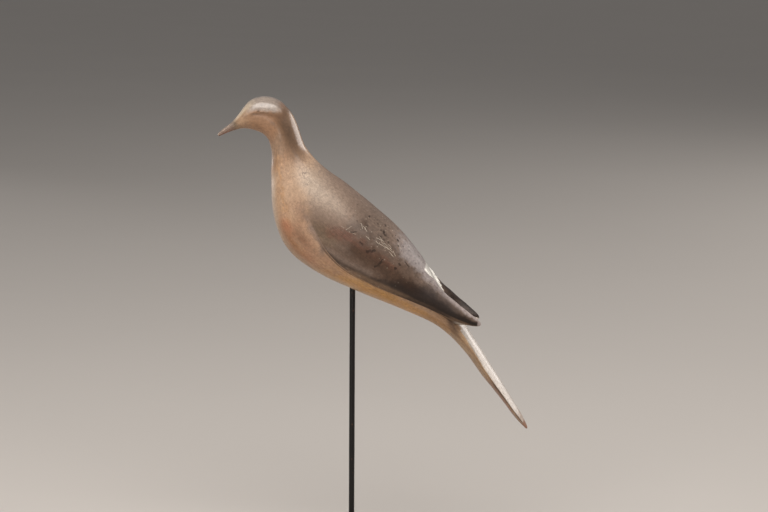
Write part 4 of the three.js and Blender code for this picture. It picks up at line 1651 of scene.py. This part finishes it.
@dataclass
class CarvedBird:
    """The carved bird: one block of wood with a socket in its belly for the rod."""

    form: BirdForm = field(default_factory=BirdForm)
    carving: Carving = field(default_factory=Carving)
    plan: PaintPlan = field(default_factory=PaintPlan)
    finish: PaintedWood = field(default_factory=PaintedWood)
    socket_radius: float = 0.0028
    socket_depth: float = 0.03
    socket_sides: int = 48
    bit_below: float = 0.012
    middle_steps: int = 1201
    sharp_above: float = 55.0

    def straightened(self, points: Array, along: Array) -> tuple[Array, Array]:
        """Where each point would lie if the bird were pulled straight.

        Args:
            points: The bird's points.
            along: Each point's share of the way along.

        Returns:
            The places along, across and up the bird, and each point's level in its slice.
        """
        steps = np.linspace(0, 1, self.middle_steps)
        cuts = [Slice(self.form, float(s)) for s in steps]
        middles = np.array([c.middle for c in cuts])
        rises = np.array([c.rise for c in cuts])
        walked = np.concatenate([[0.0], np.cumsum(np.linalg.norm(np.diff(middles, axis=0), axis=1))])
        middle = np.stack([np.interp(along, steps, middles[:, i]) for i in range(3)], 1)
        rise = np.stack([np.interp(along, steps, rises[:, i]) for i in range(3)], 1)
        depth = np.linalg.norm(rise, axis=1)
        up = ((points - middle) * rise).sum(axis=1) / depth
        return np.column_stack([np.interp(along, steps, walked), points[:, 1], up]), up / depth

    def drilled(self, mesh: bpy.types.Mesh) -> bpy.types.Mesh:
        """The mesh with the rod's socket cut into the belly."""
        turns = np.linspace(0, 2 * math.pi, self.socket_sides, endpoint=False)
        ring = np.column_stack([np.cos(turns), np.sin(turns)]) * self.socket_radius
        low, high = self.form.entry_height - self.bit_below, self.form.entry_height + self.socket_depth
        points = [(*p, low) for p in ring] + [(*p, high) for p in ring]
        n = self.socket_sides
        sides = [(i, (i + 1) % n, n + (i + 1) % n, n + i) for i in range(n)]
        faces = [*sides, tuple(range(n - 1, -1, -1)), tuple(range(n, 2 * n))]
        bit_mesh = bpy.data.meshes.new("socket_bit")
        bit_mesh.from_pydata(points, [], faces)
        bit = bpy.data.objects.new("socket_bit", bit_mesh)
        blank = bpy.data.objects.new("blank", mesh)
        for made in (bit, blank):
            bpy.context.collection.objects.link(made)
        cut = blank.modifiers.new("socket", "BOOLEAN")
        cut.object, cut.operation, cut.solver = bit, "DIFFERENCE", "EXACT"
        seen = blank.evaluated_get(bpy.context.evaluated_depsgraph_get())
        result = bpy.data.meshes.new_from_object(seen)
        for made in (bit, blank):
            bpy.data.objects.remove(made)
        bpy.data.meshes.remove(bit_mesh)
        return result

    def build(self) -> list[bpy.types.Object]:
        """Carves, drills and paints the bird."""
        skin = BirdSkin(self.form).draw()
        points = self.carving.work(skin.points, skin.faces, skin.places)
        straight, level = self.straightened(points, skin.places[:, 0])
        layers = self.plan.lay(BirdPlaces(points, skin.places, level)) | {"straight": straight}

        whole = bpy.data.meshes.new("carved_bird_whole")
        whole.from_pydata(points.tolist(), [], skin.faces)
        mesh = self.drilled(whole)
        mesh.name = "pigeon_carving"
        bpy.data.meshes.remove(whole)

        tree = kdtree.KDTree(len(points))
        for i, point in enumerate(points):
            tree.insert(point, i)
        tree.balance()
        nearest = np.array([tree.find(v.co)[1] for v in mesh.vertices])
        for name, values in layers.items():
            lay_on(mesh, name, np.asarray(values, float)[nearest])
        mesh.shade_smooth()
        mesh.set_sharp_from_angle(angle=math.radians(self.sharp_above))
        mesh.materials.clear()
        mesh.materials.append(self.finish.make())
        return [show(mesh, "pigeon_carving", "carved_bird")]


@dataclass
class RodStand:
    """The blackened steel rod and the turned round foot that it stands in.

    rod_waves: the waves of its slight unevenness, in radians to the metre.
    rod_rubs: rubbed stretches, as how strong each is and the heights it starts and is whole at.
    foot_under_flat: where the ring of faces under the foot lies.
    groove_span, face_span: the rings from the groove and from the foot's top, outward to inward.
    rub_rim, rub_socket: how far the rubbed rims reach, and how strongly the socket's is rubbed.
    """

    rod_radius: float = 0.0025
    rod_low: float = 0.0043
    rod_high: float = 0.2767
    rod_sides: int = 48
    rod_rings: int = 110
    rod_waver: float = 0.00004
    rod_waves: tuple[float, float] = (71.0, 29.0)
    rod_rubs: Table = ((0.3, 0.02, 0.012), (0.25, 0.238, 0.245))
    rod_end: float = 0.0005
    foot_radius: float = 0.06
    foot_height: float = 0.012
    foot_edge: float = 0.0015
    socket_radius: float = 0.0028
    socket_floor: float = 0.004
    foot_sides: int = 160
    rod_end_ease: float = 0.0006
    foot_under_edge: float = 0.0008
    foot_under_flat: float = 0.03
    rim_faces: int = 9
    under_faces: int = 5
    groove_span: tuple[float, float, int] = (0.0545, 0.0495, 13)
    face_span: tuple[float, float, int] = (0.046, 0.006, 12)
    rub_rim: float = 0.0011
    rub_socket: tuple[float, float] = (0.6, 0.0012)
    rub_most: float = 0.9
    lines_radius: float = 0.03
    groove_at: float = 0.052
    groove_reach: float = 0.0006
    groove_depth: float = 0.0004
    lip: float = 0.0005
    upward_within: float = 0.0008
    sharp_above: float = 40.0
    rod_finish: BlackenedSteel = BlackenedSteel("rod_steel", roughness=0.32)
    foot_finish: BlackenedSteel = BlackenedSteel(
        "foot_steel", roughness=0.5, dusting=0.24, lines=(0.03, 0.0005)
    )

    def turned(self, profile: Sequence[tuple[float, float]], sides: int, name: str) -> bpy.types.Mesh:
        """A closed turned form.

        Args:
            profile: Its outline as radius and height, from the bottom's middle round to the top's.
            sides: How many faces go round it.
            name: The mesh's name.

        Returns:
            The mesh.
        """
        turns = np.linspace(0, 2 * math.pi, sides, endpoint=False)
        circle = np.column_stack([np.cos(turns), np.sin(turns)])
        inner = list(profile[1:-1])
        points = [(0.0, 0.0, profile[0][1])]
        for radius, height in inner:
            points += [(x, y, height) for x, y in circle * radius]
        points.append((0.0, 0.0, profile[-1][1]))
        loops = [[1 + r * sides + s for s in range(sides)] for r in range(len(inner))]
        faces: list[tuple[int, ...]] = []
        for s in range(sides):
            t = (s + 1) % sides
            faces.append((0, loops[0][t], loops[0][s]))
            faces += [(a[s], a[t], b[t], b[s]) for a, b in zip(loops, loops[1:])]
            faces.append((loops[-1][s], loops[-1][t], len(points) - 1))
        mesh = bpy.data.meshes.new(name)
        mesh.from_pydata(points, [], faces)
        mesh.shade_smooth()
        mesh.set_sharp_from_angle(angle=math.radians(self.sharp_above))
        return mesh

    @staticmethod
    def places(mesh: bpy.types.Mesh) -> Array:
        """The mesh's points."""
        flat = np.empty(len(mesh.vertices) * 3, np.float32)
        mesh.vertices.foreach_get("co", flat)
        return flat.reshape(-1, 3)

    def rod(self) -> bpy.types.Object:
        """The rod, very slightly uneven, with eased ends."""
        heights = np.linspace(self.rod_low + self.rod_end, self.rod_high - self.rod_end, self.rod_rings)
        long, short = self.rod_waves
        sizes = self.rod_radius - self.rod_waver * (1 + np.sin(heights * long) * np.cos(heights * short))
        eased = self.rod_radius - self.rod_end_ease
        profile = [(0.0, self.rod_low), (eased, self.rod_low)]
        profile += [(float(r), float(h)) for r, h in zip(sizes, heights)]
        profile += [(eased, self.rod_high), (0.0, self.rod_high)]
        mesh = self.turned(profile, self.rod_sides, "upright_rod")
        points = self.places(mesh)
        lay_on(mesh, "straight", points[:, [2, 0, 1]])
        lay_on(mesh, "rub", sum(most * ease(points[:, 2], *span) for most, *span in self.rod_rubs))
        lay_on(mesh, "upward", np.zeros(len(points)))
        mesh.materials.append(self.rod_finish.make())
        return show(mesh, "upright_rod", "rod")

    def foot(self) -> bpy.types.Object:
        """The foot, with rounded rims, a shallow turned groove and the rod's blind socket."""
        top, wide, edge = self.foot_height, self.foot_radius, self.foot_edge
        rim = [
            (wide - edge + edge * math.cos(a), top - edge + edge * math.sin(a))
            for a in np.linspace(0, math.pi / 2, self.rim_faces)
        ]
        low = self.foot_under_edge
        under = [
            (wide - low + low * math.sin(a), low - low * math.cos(a))
            for a in np.linspace(0, math.pi / 2, self.under_faces)
        ]
        groove = [
            (r, top - self.groove_depth * bump(r, self.groove_at, self.groove_reach))
            for r in np.linspace(*self.groove_span)
        ]
        face = [(float(r), top) for r in np.linspace(*self.face_span)]
        lip = [(self.socket_radius + self.lip, top), (self.socket_radius, top - self.lip)]
        profile = [(0.0, 0.0), (self.foot_under_flat, 0.0), *under, *rim, *groove, *face, *lip]
        profile += [(self.socket_radius, self.socket_floor), (0.0, self.socket_floor)]
        mesh = self.turned(profile, self.foot_sides, "round_foot")
        points = self.places(mesh)
        radius = np.hypot(points[:, 0], points[:, 1])
        turn = np.arctan2(points[:, 1], points[:, 0])
        lay_on(mesh, "straight", np.column_stack([turn * self.lines_radius, radius, points[:, 2]]))
        at_rim = bump(radius, wide - edge * 0.3, self.rub_rim) * (points[:, 2] > top - edge * 1.2)
        most, reach = self.rub_socket
        at_socket = most * bump(radius, self.socket_radius, reach)
        lay_on(mesh, "rub", np.maximum(at_rim, at_socket) * self.rub_most)
        lay_on(mesh, "upward", (points[:, 2] > top - self.upward_within).astype(float))
        mesh.materials.append(self.foot_finish.make())
        return show(mesh, "round_foot", "foot")

    def build(self) -> list[bpy.types.Object]:
        """Makes the rod and the foot."""
        return [self.rod(), self.foot()]


@dataclass(frozen=True)
class SoftLight:
    """A studio light panel. It is seen in gloss but not by the camera."""

    name: str
    place: tuple[float, float, float]
    aim: tuple[float, float, float]
    size: tuple[float, float]
    power: float
    spread: float = 180.0
    colour: tuple[float, float, float] = (1.0, 0.96, 0.92)

    def hang(self) -> None:
        """Hangs the light."""
        data = bpy.data.lights.new(self.name, "AREA")
        data.shape, data.size, data.size_y = "RECTANGLE", *self.size
        data.energy, data.color = self.power, self.colour
        data.spread = math.radians(self.spread)
        panel = bpy.data.objects.new(self.name, data)
        panel.location = self.place
        way = Vector(self.aim) - Vector(self.place)
        panel.rotation_euler = way.to_track_quat("-Z", "Y").to_euler()
        panel.visible_camera = False
        bpy.context.collection.objects.link(panel)


@dataclass
class Studio:
    """The pale floor, the soft lights and the camera at the photograph's angle."""

    floor_half: float = 40.0
    floor_tone: Rgb = (205, 199, 193)
    air: tuple[float, float, float] = (0.93, 0.91, 0.9)
    air_strength: float = 0.22
    floor_roughness: float = 0.85
    floor_drop: float = 0.0002
    lens: float = 90.0
    sensor: float = 36.0
    sight: float = 200.0
    target: tuple[float, float, float] = (0.0272, 0.0, 0.277)
    distance: float = 1.66526
    pitch: float = 10.0
    roll: float = 0.42
    lights: tuple[SoftLight, ...] = (
        SoftLight("overhead_bank", (-0.1, -1.08, 1.58), (-0.02, 0.0, 0.35), (2.3, 1.05), 36.5),
        SoftLight("rear_panel", (2.69, 1.09, 1.2), (0.0, 0.0, 0.35), (3.2, 1.15), 40.0),
        SoftLight("left_rim", (-1.93, 2.3, 0.42), (0.0, 0.0, 0.32), (2.0, 0.7), 2.0, spread=50.0),
        SoftLight("low_fill", (-0.45, -1.6, 0.12), (0.05, 0.0, 0.26), (1.0, 0.2), 0.64, spread=90.0),
        SoftLight("front_fill", (-1.5, -1.15, 0.8), (0.0, 0.0, 0.3), (1.1, 1.1), 5.0),
    )

    def floor(self) -> None:
        """A wide plain floor under the foot."""
        h = self.floor_half
        mesh = bpy.data.meshes.new("floor")
        mesh.from_pydata([(-h, -h, 0), (h, -h, 0), (h, h, 0), (-h, h, 0)], [], [(0, 1, 2, 3)])
        finish = Finish("floor")
        clouds = finish.clouds(size=0.6, depth=0.012).outputs["Tone"]
        colour = finish.sheet.toned(tone(self.floor_tone), clouds)
        finish.feed(base_color=colour, roughness=self.floor_roughness)
        mesh.materials.append(finish.material)
        ground = bpy.data.objects.new("floor", mesh)
        ground.location.z = -self.floor_drop
        bpy.context.collection.objects.link(ground)

    def surroundings(self) -> None:
        """Even soft light from all round."""
        world = bpy.data.worlds.new("studio_air")
        world.use_nodes = True
        back = world.node_tree.nodes["Background"]
        back.inputs["Color"].default_value = (*self.air, 1.0)
        back.inputs["Strength"].default_value = self.air_strength
        bpy.context.scene.world = world

    def camera(self) -> None:
        """The camera, looking a little down on the bird's left side."""
        data = bpy.data.cameras.new("camera")
        data.lens, data.sensor_width, data.sensor_fit = self.lens, self.sensor, "HORIZONTAL"
        data.clip_end = self.sight
        eye = bpy.data.objects.new("camera", data)
        tilt = math.radians(self.pitch)
        back = Vector((0.0, -math.cos(tilt), math.sin(tilt)))
        up = Vector((0.0, math.sin(tilt), math.cos(tilt)))
        axes = Matrix((Vector((1.0, 0.0, 0.0)), up, back)).transposed()
        turned = axes @ Matrix.Rotation(math.radians(self.roll), 3, "Z")
        eye.matrix_world = Matrix.Translation(Vector(self.target) + back * self.distance) @ turned.to_4x4()
        bpy.context.collection.objects.link(eye)
        bpy.context.scene.camera = eye

    def set_up(self) -> None:
        """Sets up the studio."""
        bpy.context.scene.view_settings.view_transform = "Standard"
        self.floor()
        self.surroundings()
        self.camera()
        for light in self.lights:
            light.hang()


def main() -> None:
    """Builds the decoy, its stand and the studio, and logs each piece's triangle count."""
    logging.basicConfig(level=logging.INFO, format="%(message)s")
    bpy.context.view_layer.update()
    for part in (CarvedBird(), RodStand()):
        for piece in part.build():
            triangles = sum(len(face.vertices) - 2 for face in piece.data.polygons)
            log.info("%s: %d triangles", piece.name, triangles)
    Studio().set_up()


if __name__ == "__main__":
    main()
